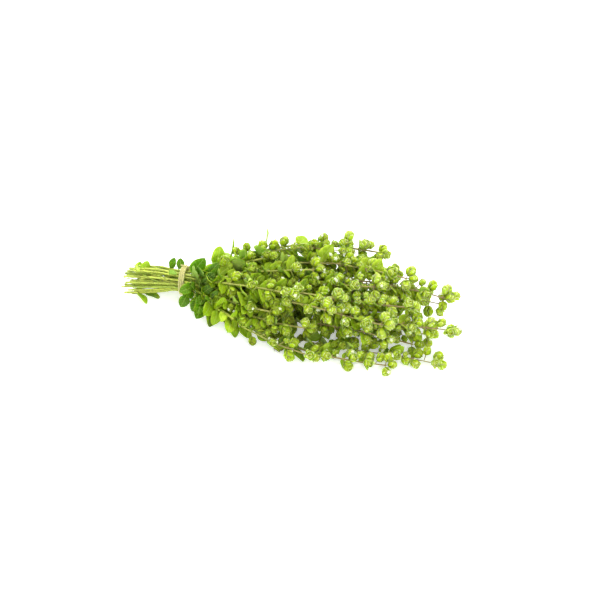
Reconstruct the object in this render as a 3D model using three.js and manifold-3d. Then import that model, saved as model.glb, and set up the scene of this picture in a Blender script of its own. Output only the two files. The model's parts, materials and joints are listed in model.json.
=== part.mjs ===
// A tied bunch of flowering oregano, lying on its side on a table.
// Millimetres, +Z up, +X from the cut ends towards the flower heads. The origin is on the table, below the
// middle of the bunch. Each sprig is one body: its square stem, its paired leaves and its knotted heads.
import * as THREE from "three";
import Module from "manifold-3d";

const wasm = await Module();
wasm.setup();

const V = (x, y, z) => new THREE.Vector3(x, y, z);

// The bundle of stems. A run is a distance along X from the twine, positive towards the flower heads.
const SEED = 3;
const SPRIG_COUNT = 31;
const TIE = V(-81, -2, 11.5); // the middle of the bundle where the twine holds it
const TIE_RADIUS = 6.9; // from the bundle's middle to its outermost stem
const TIE_RUN = 2.5; // the bundle is held straight as far as this on both sides of the twine
const STEM_RADIUS = 0.92; // from a square stem's middle to its edges, at the twine
const TIP_STEM_RADIUS = 0.6;
const STEM_RUNS = [-20, -6, 6, 20, 36, 56, 80, 108, 140, 172]; // where a stem bends
const SHORTEST_STEP = 5; // the last bend is at least this far from the tip
const STEM_GAP = 0.3; // the least between two stems, as a share of the bundle's radius
const YIELDS = 0.9; // how much of a lack of room the later of two stems makes good
const ROUNDS = 600;
const BUTT_RUN = 38; // a usual cut end is this far behind the twine
const BUTT_VARIES = 6;
const BUTT_FLARE = 3.6; // the bundle opens by this much behind the twine
const BUTT_LOOSE_RUN = 13; // and has done most of it by this far behind
const BUTT_BEND = 7; // the cut ends swing this far to the front
const BEND_POWER = 1.3; // how evenly they do
const BUTT_DROP = 3.5; // and sink this far
const BUTT_TWIST = 0.3; // radians that the bundle turns between the twine and the cut ends
const FAN_RUN = 48; // the bundle has done most of its opening by this run
const RISE_RUN = 66; // and most of its rising
const FAN_WIDTH = 44;
const FAN_SHIFT = 3; // and leans this far to the back
const FAN_HEIGHT = 16;
const FAN_LIFT = 9;
const LOWEST_BUTT = -0.5; // the bunch flattens on the table, where its lowest cut ends are this high
const LOWEST_STEM = 2.5; // and its lowest stems this high
const SOFT_FLOOR = 2; // over about this height
const FAN_SQUARE = 0.8; // how full the corners of the fan are: 0 for an ellipse
const LONGEST_RUN = 200; // from the twine to the furthest stem tip
const SIDE_LOSS = 0.45; // the share by which the sprigs at the sides are shorter
const SIDE_POWER = 2.2;
const TOP_LOSS = 0.55; // and those at the top
const TOP_POWER = 1.8;
const LENGTH_VARIES = 0.5;
const WAVE_SIDE = 2.4; // how far the stems bow out of their straight courses
const WAVE_UP = 1.2;
const WAVE_RUN = 26;
const WAVE_TURN = { a: 5, b: 3 }; // how much later the bow comes from one side of the bundle to the other

// Tips that stand out of the bunch or lie under it, each as its run, how far it is to the back from the twine
// and its height above the table.
const OUTSTANDING_TIPS = [
  V(110, 43, 45), V(135, 43, 37), V(160, 31, 37), V(188, 19, 31), V(166, -1, 28), V(197, -7, 20),
  V(182, -3, 9), V(192, -27, 3.1), V(160, -29, 3.1), V(108, -42, 3.1), V(58, 20, 36),
  V(120, 33, 3.1), V(165, 17, 3.1),
  V(84, 0, 36), V(112, -17, 31), V(140, 4, 32), V(95, 21, 37), V(74, -24, 24), V(100, -34, 19),
  V(16, -12, 20), V(27, -19, 12), V(48, -29, 8), V(35, 11, 27),
];
const LEAFY_RUN = 54; // a sprig whose tip is nearer than this to the twine bears leaves alone
const DARK_RUN = 30; // and one nearer than this is an old, dark one
const FILLER_REACH = 0.95; // the other tips stay this far within those that stand out
const FILLER_REGION = 0.86; // and start from places this far out in the bundle

// Flower heads.
const HEAD_LENGTH = 7.4;
const HEAD_RADIUS = 3.1;
const HEAD_VARIES = 0.3;
const HEAD_NODES = [14, 29, 46]; // from the tip back to each pair of heads
const NODE_VARIES = 4;
const STALK_LENGTH = 2.2; // of a pair of heads
const STALK_GROWS = 1; // longer at each node further back
const HEAD_ANGLE = 0.9; // radians between a side head and its stem
const TIP_ROOT = 1; // the last heads or leaves leave a stem this far from its tip
const TIP_HEAD_ANGLE = 0.2;
const TIP_STALK = 2.4;
const TIP_SIDE_ANGLE = 1.25;
const TIP_SIDE_STALK = 2.8;
const FIRST_HEAD_RUN = 24; // no flower head is nearer to the twine

// Leaves.
const LEAF_LENGTH = 14;
const LEAF_GROWS = 1.8; // longer at each node further back
const LEAF_VARIES = 0.35;
const LEAF_SHAPE = 0.31; // half width, as a share of the length
const LEAF_THICK = 1;
const LEAF_ARCH = 0.16; // how far the tip hangs, as a share of the length
const PETIOLE = 0.4; // half the width of a leaf where it leaves the stem
const LEAF_ANGLE = 0.95;
const LEAF_ANGLE_VARIES = 0.3;
const FIRST_LEAF_GAP = 17; // between the last heads and the leaves
const LEAF_GAP = 27; // between pairs of leaves
const LEAF_GAP_VARIES = 0.45;
const FIRST_LEAF_RUN = 11;
const OUTER = 0.7; // a place this far out in the bundle is an outer one
const OUTER_LEAF_NODES = 4;
const INNER_LEAF_NODES = 1;
const FACE_UP = 1.3; // how strongly a leaf twists to face upwards
const SHOOT_NODES = 5; // the most pairs of leaves on a leafy sprig
const SHOOT_GAP = 7; // between them
const FIRST_SHOOT_RUN = 4;
const SHOOT_LEAF = 8; // length of the leaf at its tip
const SHOOT_GROWS = 2.2; // longer at each node further back

const HIGHEST = 44.5; // no leaf or head stands higher than this
const TABLE_DEPTH = 9; // of the block that cuts the resting spots flat
const TABLE_RADIUS = 300;

// Single leaves near the twine and the cut ends, each with its run, the way it faces and its length.
const STRAY_LEAVES = [
  { run: -10, way: 1.9, length: 9 },
  { run: -12, way: 1.2, length: 7 },
  { run: -34, way: 1.9, length: 8 },
  { run: -31, way: -2.6, length: 12 },
];

// The first numbers by which the pieces of a sprig are told apart in its draws.
const HEAD_ITEM = 2;
const LEAF_ITEM = 20;
const STRAY_ITEM = 40;

// The twine: wraps side by side round the bundle, and a knot at its back.
const WRAPS = 3;
const TWINE_RADIUS = 0.7;
const TWINE_INSIDE = 8.9;
const TWINE_TILT = 0.12;
const TWINE_SEGMENTS = 20;
const KNOT_WAY = 0.9; // the way from the bundle's middle to the knot, from the back upwards
const KNOT_SIZE = 2.4;
const BIGHT_RADIUS = 0.98;
const VALLEY = 0.91; // the height of the valleys between the wraps
const NOT_A_SPRIG = -1;

const HEAD_GREEN = "#96b54a";
const LEAF_GREEN = "#86b32c";
const DARK_GREEN = "#4f7d1e";
const STRAW = "#d9c48f";
const LEAF_ROUGHNESS = 0.65;
const TWINE_ROUGHNESS = 0.9;

const CLEARANCE = 0.12; // left between two sprigs, on each of them
const PRESSED = 0.6; // a head may be pressed flat on the table by this much

// A number from 0 to 1 that depends only on what it is drawn for.
function draw(sprig, item, use) {
  const wave = Math.sin(SEED + 12.9898 * sprig + 78.233 * item + 37.719 * use) * 43758.5453;
  return wave - Math.floor(wave);
}
const vary = (share, drawn) => 1 + share * (drawn - 0.5);

// How far the fan of sprigs has opened, and how far the bundle has loosened and bent towards the cut ends.
const growing = (run, scale) => 1 - Math.exp(-((Math.max(0, run - TIE_RUN) / scale) ** 1.5));
const opening = (run) => growing(run, FAN_RUN);
const rising = (run) => growing(run, RISE_RUN);
const loosening = (run) => growing(-run, BUTT_LOOSE_RUN);
const bending = (run) => (run < -TIE_RUN ? ((-run - TIE_RUN) / BUTT_RUN) ** BEND_POWER : 0);

// Half the width of the fan at a run, and half its height at a place across it.
const halfWidth = (run) => TIE_RADIUS + FAN_WIDTH * opening(run) + BUTT_FLARE * loosening(run);
const halfHeight = (run, across) => {
  const fan = (FAN_HEIGHT * rising(run)) / Math.sqrt(1 - FAN_SQUARE * across * across);
  return TIE_RADIUS + fan + BUTT_FLARE * loosening(run);
};

// The middle of the bundle at a run.
const middle = (run) =>
  V(
    TIE.x + run,
    TIE.y + FAN_SHIFT * opening(run) - BUTT_BEND * bending(run),
    TIE.z + FAN_LIFT * rising(run) - BUTT_DROP * bending(run),
  );

// Where a stem is at a run. Its place (a, b) is a point of the unit disc, the same all along it, so that no
// two stems cross.
function bundlePoint(a, b, run) {
  const turn = run < 0 ? (BUTT_TWIST * run) / BUTT_RUN : 0;
  const across = a * Math.cos(turn) - b * Math.sin(turn);
  const above = a * Math.sin(turn) + b * Math.cos(turn);
  const bow = opening(run) ** 2 * Math.sin(run / WAVE_RUN + WAVE_TURN.a * a + WAVE_TURN.b * b);
  const point = middle(run);
  point.y += across * halfWidth(run) + WAVE_SIDE * bow;
  point.z += above * halfHeight(run, across) + WAVE_UP * bow;
  const lowest = THREE.MathUtils.lerp(LOWEST_BUTT, LOWEST_STEM, opening(run));
  point.z = lowest + SOFT_FLOOR * Math.log1p(Math.exp((point.z - lowest) / SOFT_FLOOR));
  return point;
}

// The place of the stem that passes through a tip, found by correcting the middle one.
function placeOf(tip) {
  const place = new THREE.Vector2(0, 0);
  for (let round = 0; round < ROUNDS; round++) {
    const miss = V(TIE.x, TIE.y, 0).add(tip).sub(bundlePoint(place.x, place.y, tip.x));
    place.x = THREE.MathUtils.clamp(place.x + miss.y / halfWidth(tip.x), -1, 1);
    place.y += miss.z / halfHeight(tip.x, place.x);
  }
  return place;
}

// All places: those of the outstanding tips, and between them others by the sunflower rule, moved apart until
// no two are nearer than the least gap. Each gives way to those before it.
function sprigs() {
  const goldenAngle = Math.PI * (3 - Math.sqrt(5));
  const fillers = SPRIG_COUNT - OUTSTANDING_TIPS.length;
  const places = OUTSTANDING_TIPS.map(placeOf);
  for (let k = 0; k < fillers; k++) {
    const radius = FILLER_REGION * Math.sqrt((k + 0.5) / fillers);
    places.push(new THREE.Vector2(radius * Math.cos(k * goldenAngle), radius * Math.sin(k * goldenAngle)));
  }
  for (let round = 0; round < ROUNDS; round++) {
    for (let i = 0; i < places.length; i++) {
      for (let j = 0; j < i; j++) {
        const apart = places[i].clone().sub(places[j]);
        const lack = STEM_GAP - apart.length();
        if (lack <= 0) continue;
        apart.setLength(lack);
        places[i].addScaledVector(apart, YIELDS);
        places[j].addScaledVector(apart, YIELDS - 1);
      }
      places[i].clampLength(0, 1);
    }
  }
  return places.map(({ x: a, y: b }, k) => {
    const sideShare = 1 - SIDE_LOSS * Math.abs(a) ** SIDE_POWER;
    const topShare = 1 - TOP_LOSS * Math.max(0, b) ** TOP_POWER;
    const filler = FILLER_REACH * LONGEST_RUN * sideShare * topShare * (1 - LENGTH_VARIES * draw(k, 0, 1));
    const reach = k < OUTSTANDING_TIPS.length ? OUTSTANDING_TIPS[k].x : filler;
    const butt = -BUTT_RUN - BUTT_VARIES * (2 * draw(k, 0, 4) - 1);
    const runs = [butt, ...STEM_RUNS.filter((run) => run < reach - SHORTEST_STEP), reach];
    const course = runs.map((run) => bundlePoint(a, b, run));
    return { k, a, b, reach, runs, course, roll: draw(k, 0, 9) * Math.PI };
  });
}

// The middle of a stem at a run. It is straight between its bends.
function stemPoint({ runs, course }, run) {
  const bend = runs.findLastIndex((start, i) => i === 0 || (run >= start && i < runs.length - 1));
  return course[bend].clone().lerp(course[bend + 1], (run - runs[bend]) / (runs[bend + 1] - runs[bend]));
}

// The stem's direction at a run, and two directions square to it.
function stemFrame(sprig, run) {
  const along = stemPoint(sprig, run + 0.5).sub(stemPoint(sprig, run - 0.5)).normalize();
  const side = V(0, 0, 1).cross(along).normalize();
  return { at: stemPoint(sprig, run), along, side, up: along.clone().cross(side) };
}

const outward = (frame, roll) =>
  frame.side.clone().multiplyScalar(Math.cos(roll)).addScaledVector(frame.up, Math.sin(roll));

const solidOf = (coordinates, triangles) =>
  new wasm.Manifold(
    new wasm.Mesh({
      numProp: 3,
      vertProperties: new Float32Array(coordinates),
      triVerts: new Uint32Array(triangles),
    }),
  );

// A closed body through rings of points, each counted anticlockwise about the way it runs. All have as many
// points but the first and the last, which may be a single one.
function loft(rings) {
  const triVerts = [];
  const cap = (first, step) => {
    for (let j = 1; j < rings[1].length - 1; j++) {
      triVerts.push(first, first + j + 1 - step, first + j + step);
    }
  };
  if (rings[0].length > 1) cap(0, 0);
  let here = 0;
  rings.slice(1).forEach((ring, i) => {
    const next = here + rings[i].length;
    const sides = rings[1].length;
    for (let j = 0; j < sides; j++) {
      const k = (j + 1) % sides;
      if (ring.length === 1) triVerts.push(here + j, here + k, next);
      else if (rings[i].length === 1) triVerts.push(here, next + k, next + j);
      else triVerts.push(here + j, here + k, next + j, here + k, next + k, next + j);
    }
    here = next;
  });
  if (rings.at(-1).length > 1) cap(here, 1);
  return solidOf(rings.flat().flatMap((p) => p.toArray()), triVerts);
}

// Four points round a centre, square to u cross w.
function square(centre, u, w, radius, turn) {
  return [0, 1, 2, 3].map((j) => {
    const angle = turn + (j * Math.PI) / 2;
    const [x, y] = [radius * Math.cos(angle), radius * Math.sin(angle)];
    return centre.clone().addScaledVector(u, x).addScaledVector(w, y);
  });
}

// A square tube through points, as wide at each as its radius there.
function tube(points, radii, roll) {
  const rings = points.map((point, i) => {
    const along = (points[i + 1] ?? point).clone().sub(points[i - 1] ?? point).normalize();
    const side = V(0, 0, 1).cross(along).normalize();
    return square(point, side, along.clone().cross(side), radii[i], roll);
  });
  return loft(rings);
}

const stemRadius = (run) =>
  THREE.MathUtils.lerp(STEM_RADIUS, TIP_STEM_RADIUS, Math.max(0, run / LONGEST_RUN));

// A stem, with a flat side towards each of its leaves and heads.
const stem = ({ course, runs, roll }) => tube(course, runs.map(stemRadius), roll + Math.PI / 4);

// A flower head: a four-sided knot of bracts in two tiers and a bud, each tier turned by half a bract and
// standing out over the one above it. Its stalk widens from a point in the middle of the stem.
function head({ root, along, stalk, size, roll }, spare = 0) {
  const aside = Math.abs(along.z) < 0.9 ? V(0, 0, 1) : V(1, 0, 0);
  const u = aside.cross(along).normalize();
  const w = along.clone().cross(u);
  const length = HEAD_LENGTH * size;
  const radius = HEAD_RADIUS * size;
  const at = (height) => root.clone().addScaledVector(along, height);
  const tier = (share, wide, turn) =>
    square(at(stalk + share * length), u, w, wide * radius + spare, roll + turn);
  return loft([
    [root],
    tier(0.3, 1, 0),
    tier(0.42, 0.74, Math.PI / 4),
    tier(0.68, 0.82, Math.PI / 4),
    [at(stalk + length + spare)],
  ]);
}

// A leaf: a thin arched blade, flat above, with its rib standing out beneath.
function leaf({ root, along, face, length, width }, spare = 0) {
  const across = face.clone().cross(along);
  const at = (share) => {
    const hang = LEAF_ARCH * length * share * share;
    return root.clone().addScaledVector(along, length * share).addScaledVector(face, -hang);
  };
  const section = (share, half, thick) => [
    at(share).addScaledVector(across, half + spare).addScaledVector(face, spare),
    at(share).addScaledVector(across, -half - spare).addScaledVector(face, spare),
    at(share).addScaledVector(face, -thick - spare),
  ];
  return loft([
    section(0, PETIOLE, 2 * PETIOLE),
    section(0.44, width, LEAF_THICK),
    section(0.8, 0.7 * width, 0.8 * LEAF_THICK),
    [at(1 + spare / length)],
  ]);
}

// What stands so far, each with the sprig that it belongs to.
const standing = [];
const stand = (owner, solid) => standing.push({ owner, solid, box: solid.boundingBox() });
const boxesMeet = (p, q) => [0, 1, 2].every((i) => p.min[i] <= q.max[i] && q.min[i] <= p.max[i]);

function isClear(owner, solid, lowest) {
  const box = solid.boundingBox();
  if (box.min[2] < lowest || box.max[2] > HIGHEST) return false;
  return !standing.some(
    (other) => other.owner !== owner && boxesMeet(box, other.box) && !solid.intersect(other.solid).isEmpty(),
  );
}

// Grows one piece of a sprig, turned round its stem or pressed to it by the least that keeps it clear of the
// others. A piece that is clear nowhere is left out.
const TURNS = [0, 0.35, -0.35, 0.7, -0.7, 1.05, -1.05, 1.6, -1.6];
const PRESSES = [1, 0.6, 0.3];
function grow(sprig, make, pieceAt, lowest) {
  for (const press of PRESSES) {
    for (const turn of TURNS) {
      const piece = pieceAt(turn, press);
      if (!isClear(sprig.k, make(piece, CLEARANCE), lowest)) continue;
      const solid = make(piece);
      stand(sprig.k, solid);
      sprig.solids.push(solid);
      return;
    }
  }
}

// A direction between a stem's own and straight out from it.
const leaning = (frame, roll, angle) =>
  frame.along.clone().multiplyScalar(Math.cos(angle)).addScaledVector(outward(frame, roll), Math.sin(angle));

function growHead(sprig, item, run, roll, angle, stalk) {
  const size = vary(HEAD_VARIES, draw(sprig.k, item, 6));
  const frame = stemFrame(sprig, run);
  const pieceAt = (turn, press) => ({
    root: frame.at,
    along: leaning(frame, roll + turn, angle * press),
    stalk,
    size,
    roll: draw(sprig.k, item, 7) * Math.PI,
  });
  return grow(sprig, head, pieceAt, CLEARANCE - PRESSED);
}

function growLeaf(sprig, item, run, roll, length) {
  const frame = stemFrame(sprig, run);
  const angle = LEAF_ANGLE * vary(LEAF_ANGLE_VARIES, draw(sprig.k, item, 8));
  const pieceAt = (turn, press) => {
    const along = leaning(frame, roll + turn, angle * press);
    const face = leaning(frame, roll + turn, angle * press - Math.PI / 2).add(V(0, 0, FACE_UP));
    face.addScaledVector(along, -face.dot(along)).normalize();
    return { root: frame.at, along, face, length, width: length * LEAF_SHAPE };
  };
  grow(sprig, leaf, pieceAt, 0);
}

// Opposite pieces at a node, a quarter turn from those of the node before it.
function growPair(sprig, item, node, growOne) {
  const roll = sprig.roll + (node * Math.PI) / 2;
  growOne(item + 2 * node, roll);
  growOne(item + 2 * node + 1, roll + Math.PI);
}

// Three heads at the tip, then pairs of heads.
function growHeads(sprig) {
  const tip = sprig.reach - TIP_ROOT;
  growHead(sprig, 1, tip, sprig.roll, TIP_HEAD_ANGLE, TIP_STALK);
  growPair(sprig, HEAD_ITEM, 0, (item, roll) =>
    growHead(sprig, item, tip, roll, TIP_SIDE_ANGLE, TIP_SIDE_STALK),
  );
  sprig.lastHead = sprig.reach;
  HEAD_NODES.forEach((back, n) => {
    const run = sprig.reach - back - NODE_VARIES * draw(sprig.k, n, 10);
    if (run < FIRST_HEAD_RUN) return;
    const stalk = STALK_LENGTH + STALK_GROWS * n;
    growPair(sprig, HEAD_ITEM, n + 1, (item, roll) => growHead(sprig, item, run, roll, HEAD_ANGLE, stalk));
    sprig.lastHead = run;
  });
}

// Pairs of leaves below the heads.
function growLeaves(sprig) {
  const most = Math.hypot(sprig.a, sprig.b) > OUTER ? OUTER_LEAF_NODES : INNER_LEAF_NODES;
  let run = sprig.lastHead - FIRST_LEAF_GAP * vary(LEAF_GAP_VARIES, draw(sprig.k, 0, 12));
  for (let n = 0; n < most && run > FIRST_LEAF_RUN; n++) {
    const length = (LEAF_LENGTH + LEAF_GROWS * n) * vary(LEAF_VARIES, draw(sprig.k, n, 13));
    growPair(sprig, LEAF_ITEM, n, (item, roll) => growLeaf(sprig, item, run, roll, length));
    run -= LEAF_GAP * vary(LEAF_GAP_VARIES, draw(sprig.k, n, 14));
  }
}

// Pairs of leaves up to the tip of a leafy sprig.
function growShoot(sprig) {
  for (let n = 0; n < SHOOT_NODES; n++) {
    const run = sprig.reach - TIP_ROOT - SHOOT_GAP * n;
    if (run < FIRST_SHOOT_RUN) return;
    const length = SHOOT_LEAF + SHOOT_GROWS * n;
    growPair(sprig, LEAF_ITEM, n, (item, roll) => growLeaf(sprig, item, run, roll, length));
  }
}

// Single leaves, each on the sprig that lies furthest out its way.
function growStrayLeaves(bunch) {
  STRAY_LEAVES.forEach(({ run, way, length }, n) => {
    const outer = (sprig) => sprig.a * Math.cos(way) + sprig.b * Math.sin(way);
    const bearer = bunch.reduce((best, sprig) => (outer(sprig) > outer(best) ? sprig : best));
    growLeaf(bearer, STRAY_ITEM + n, run, way, length);
  });
}

// The twine's wraps, as one ring with a ridge for each.
function wraps() {
  const tilt = (p) => p.applyAxisAngle(V(0, 0, 1), TWINE_TILT).add(TIE);
  const edge = WRAPS * TWINE_RADIUS;
  const profile = [[0, -edge], [0, edge], [TWINE_RADIUS, edge]];
  for (let w = WRAPS - 1; w >= 0; w--) {
    const ridge = (2 * w + 1) * TWINE_RADIUS - edge;
    profile.push([2 * TWINE_RADIUS, ridge], [w > 0 ? VALLEY : TWINE_RADIUS, ridge - TWINE_RADIUS]);
  }
  const vertProperties = [];
  const triVerts = [];
  const sides = profile.length;
  for (let i = 0; i < TWINE_SEGMENTS; i++) {
    const angle = (2 * Math.PI * i) / TWINE_SEGMENTS;
    const next = (i + 1) % TWINE_SEGMENTS;
    for (let j = 0; j < sides; j++) {
      const radius = TWINE_INSIDE + profile[j][0];
      const point = tilt(V(profile[j][1], radius * Math.cos(angle), radius * Math.sin(angle)));
      vertProperties.push(...point.toArray());
      const [here, beside] = [i * sides + j, i * sides + ((j + 1) % sides)];
      const [ahead, across] = [next * sides + j, next * sides + ((j + 1) % sides)];
      triVerts.push(here, beside, ahead, ahead, beside, across);
    }
  }
  return solidOf(vertProperties, triVerts);
}

// The knot: two short bights that cross, and two tails.
function knot() {
  const out = V(0, Math.cos(KNOT_WAY), Math.sin(KNOT_WAY));
  const round = V(0, -Math.sin(KNOT_WAY), Math.cos(KNOT_WAY));
  const place = ([x, up, rise]) => // along the bundle, round it and out from it
    TIE.clone()
      .add(V(x * KNOT_SIZE, 0, 0))
      .addScaledVector(round, up * KNOT_SIZE)
      .addScaledVector(out, TWINE_INSIDE + (2 + rise) * TWINE_RADIUS);
  const cord = (courses, radius) => tube(courses.map(place), courses.map(() => radius), 0);
  return [
    cord([[-1, 0, -0.5], [0, 0, 1.2], [1, 0, -0.5]], BIGHT_RADIUS),
    cord([[-0.4, -1, -0.6], [0, 0, 1.6], [0.4, 1, -0.6]], BIGHT_RADIUS),
    cord([[0, 0, 0.5], [1.8, 0.6, 0.8], [3.4, 1.4, 0]], TWINE_RADIUS),
    cord([[0, 0, 0.5], [-1.6, -0.9, 0.6], [-3, -1.2, 1]], TWINE_RADIUS),
  ];
}

// A solid as a mesh with flat faces.
function meshOf(name, solid, color, roughness) {
  const { vertProperties, triVerts } = solid.getMesh();
  const indexed = new THREE.BufferGeometry();
  indexed.setAttribute("position", new THREE.BufferAttribute(vertProperties, 3));
  indexed.setIndex(new THREE.BufferAttribute(triVerts, 1));
  const geometry = indexed.toNonIndexed();
  geometry.computeVertexNormals();
  const mesh = new THREE.Mesh(geometry, new THREE.MeshStandardMaterial({ color, roughness, metalness: 0 }));
  mesh.name = name;
  return mesh;
}

const bunch = sprigs();
for (const sprig of bunch) {
  sprig.solids = [stem(sprig)];
  stand(sprig.k, sprig.solids[0]);
}
const tie = knot().reduce((sum, solid) => sum.add(solid), wraps());
stand(NOT_A_SPRIG, tie);
growStrayLeaves(bunch);
const isLeafy = (sprig) => sprig.reach < LEAFY_RUN;
bunch.filter(isLeafy).forEach(growShoot);
const flowering = bunch.filter((sprig) => !isLeafy(sprig));
flowering.forEach(growHeads);
flowering.forEach(growLeaves);

// The spots on which the bunch rests are cut flat.
const table = loft([-TABLE_DEPTH, 0].map((z) => square(V(0, 0, z), V(1, 0, 0), V(0, 1, 0), TABLE_RADIUS, 0)));
const group = new THREE.Group();
for (const sprig of bunch) {
  const whole = sprig.solids.reduce((sum, solid) => sum.add(solid)).subtract(table);
  const number = String(sprig.k + 1).padStart(2, "0");
  if (sprig.reach < DARK_RUN) group.add(meshOf(`leafy_sprig_${number}`, whole, DARK_GREEN, LEAF_ROUGHNESS));
  else if (isLeafy(sprig)) group.add(meshOf(`leafy_sprig_${number}`, whole, LEAF_GREEN, LEAF_ROUGHNESS));
  else group.add(meshOf(`sprig_${number}`, whole, HEAD_GREEN, LEAF_ROUGHNESS));
}
group.add(meshOf("twine", tie, STRAW, TWINE_ROUGHNESS));
export default group;
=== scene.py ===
"""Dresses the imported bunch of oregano: its sprigs' stems, leaves, bracts and florets, and its
twine.

Everything is worked out in millimetres in the frame's own axes, and put into the meshes in metres.
"""

import json
import math

import bpy
import numpy as np
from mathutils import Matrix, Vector

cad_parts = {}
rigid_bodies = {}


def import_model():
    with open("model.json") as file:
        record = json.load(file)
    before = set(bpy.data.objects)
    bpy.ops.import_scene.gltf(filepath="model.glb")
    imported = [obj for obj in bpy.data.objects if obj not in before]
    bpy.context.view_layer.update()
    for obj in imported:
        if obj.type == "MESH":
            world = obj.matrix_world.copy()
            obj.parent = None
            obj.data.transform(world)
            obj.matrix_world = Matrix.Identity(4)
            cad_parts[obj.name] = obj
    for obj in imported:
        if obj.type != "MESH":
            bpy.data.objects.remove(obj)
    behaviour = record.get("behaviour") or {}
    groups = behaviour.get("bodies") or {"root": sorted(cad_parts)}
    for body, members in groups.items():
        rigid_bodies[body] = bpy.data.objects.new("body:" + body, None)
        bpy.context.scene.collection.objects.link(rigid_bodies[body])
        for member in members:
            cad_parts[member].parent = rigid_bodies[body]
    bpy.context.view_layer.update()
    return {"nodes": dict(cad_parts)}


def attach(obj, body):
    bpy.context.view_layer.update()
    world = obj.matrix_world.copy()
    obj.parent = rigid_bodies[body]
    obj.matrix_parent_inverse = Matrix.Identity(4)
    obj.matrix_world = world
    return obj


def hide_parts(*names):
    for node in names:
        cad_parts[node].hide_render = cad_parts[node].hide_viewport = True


bl_info = {
    "name": "Bunch of oregano",
    "version": (1, 0, 0),
    "blender": (4, 5, 0),
    "location": "3D View > Sidebar > Oregano",
    "description": "Builds the stems, leaves, flower heads and twine of a tied bunch of oregano",
    "category": "Add Mesh",
}

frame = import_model()
MM = 0.001
UP = np.array([0.0, 0.0, 1.0])
TURN = 2 * math.pi
ANY_TURN = (0, 6.28)

# The bundle of stems, as in the solids. A run is a distance along X from the twine.
SEED = 3
SPRIG_COUNT = 31
DRAW_SPRIG, DRAW_ITEM, DRAW_USE, DRAW_SCALE = 12.9898, 78.233, 37.719, 43758.5453
TIE = np.array([-81.0, -2.0, 11.5])
TIE_RADIUS = 6.9
TIE_RUN = 2.5
STEM_RADIUS = 0.92
TIP_STEM_RADIUS = 0.6
STEM_RUNS = (-20, -6, 6, 20, 36, 56, 80, 108, 140, 172)
SHORTEST_STEP = 5
STEM_GAP = 0.3
YIELDS = 0.9
ROUNDS = 600
BUTT_RUN = 38
BUTT_VARIES = 6
BUTT_FLARE = 3.6
BUTT_LOOSE_RUN = 13
BUTT_BEND = 7
BEND_POWER = 1.3
BUTT_DROP = 3.5
BUTT_TWIST = 0.3
GROWING_POWER = 1.5
FAN_RUN = 48
RISE_RUN = 66
FAN_WIDTH = 44
FAN_SHIFT = 3
FAN_HEIGHT = 16
FAN_LIFT = 9
LOWEST_BUTT = -0.5
LOWEST_STEM = 2.5
SOFT_FLOOR = 2
FAN_SQUARE = 0.8
LONGEST_RUN = 200
SIDE_LOSS, SIDE_POWER = 0.45, 2.2
TOP_LOSS, TOP_POWER = 0.55, 1.8
LENGTH_VARIES = 0.5
WAVE_SIDE, WAVE_UP, WAVE_RUN = 2.4, 1.2, 26
WAVE_TURN = (5, 3)
OUTSTANDING_TIPS = (
    (110, 43, 45), (135, 43, 37), (160, 31, 37), (188, 19, 31), (166, -1, 28), (197, -7, 20),
    (182, -3, 9), (192, -27, 3.1), (160, -29, 3.1), (108, -42, 3.1), (58, 20, 36),
    (120, 33, 3.1), (165, 17, 3.1),
    (84, 0, 36), (112, -17, 31), (140, 4, 32), (95, 21, 37), (74, -24, 24), (100, -34, 19),
    (16, -12, 20), (27, -19, 12), (48, -29, 8), (35, 11, 27),
)
LEAFY_RUN = 54
DARK_RUN = 30
FILLER_REACH = 0.95
FILLER_REGION = 0.86

# Flower heads and leaves, as in the solids.
HEAD_LENGTH = 7.4
UPRIGHT = 0.9  # of a direction's rise, above which up gives no direction square to it
HEAD_RADIUS = 3.1
HEAD_TIERS = ((0.3, 1, 0), (0.42, 0.74, math.pi / 4), (0.68, 0.82, math.pi / 4))
HEAD_VARIES = 0.3
HEAD_NODES = (14, 29, 46)
NODE_VARIES = 4
STALK_LENGTH = 2.2
STALK_GROWS = 1
HEAD_ANGLE = 0.9
TIP_ROOT = 1
TIP_HEAD_ANGLE, TIP_STALK = 0.2, 2.4
TIP_SIDE_ANGLE, TIP_SIDE_STALK = 1.25, 2.8
FIRST_HEAD_RUN = 24
LEAF_LENGTH = 14
LEAF_GROWS = 1.8
LEAF_SECTIONS = ((0.44, 1, 1), (0.8, 0.7, 0.8), (1, 0, 0))
LEAF_VARIES = 0.35
LEAF_SHAPE = 0.31
LEAF_ARCH = 0.16
LEAF_THICK = 1
LEAF_ANGLE = 0.95
LEAF_ANGLE_VARIES = 0.3
FIRST_LEAF_GAP = 17
LEAF_GAP = 27
LEAF_GAP_VARIES = 0.45
FIRST_LEAF_RUN = 11
OUTER = 0.7
OUTER_LEAF_NODES, INNER_LEAF_NODES = 4, 1
FACE_UP = 1.3
SHOOT_NODES = 5
SHOOT_GAP = 7
FIRST_SHOOT_RUN = 4
SHOOT_LEAF = 8
SHOOT_GROWS = 2.2
STRAY_LEAVES = ((-10, 1.9, 9), (-12, 1.2, 7), (-34, 1.9, 8), (-31, -2.6, 12))
HEAD_ITEM, LEAF_ITEM, STRAY_ITEM = 2, 20, 40
TURNS = (0, 0.35, -0.35, 0.7, -0.7, 1.05, -1.05, 1.6, -1.6)
PRESSES = (1, 0.6, 0.3)  # both as in the solids, which turn or press a piece that has no room
FOUND_WITHIN = 0.03  # of a corner of the solid
LEAST_FOUND = 0.25  # of a piece's corners

# The twine, as in the solids.
WRAPS = 3
TWINE_RADIUS = 0.7
TWINE_INSIDE = 8.9
TWINE_TILT = 0.12
KNOT_WAY = 0.9
KNOT_SIZE = 2.4


def unit(v):
    """Vectors of length one."""
    return v / np.linalg.norm(v, axis=-1, keepdims=True)


def turned(angle, a, b):
    """Directions at angles from a towards b."""
    return np.cos(angle)[..., None] * a + np.sin(angle)[..., None] * b


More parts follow.
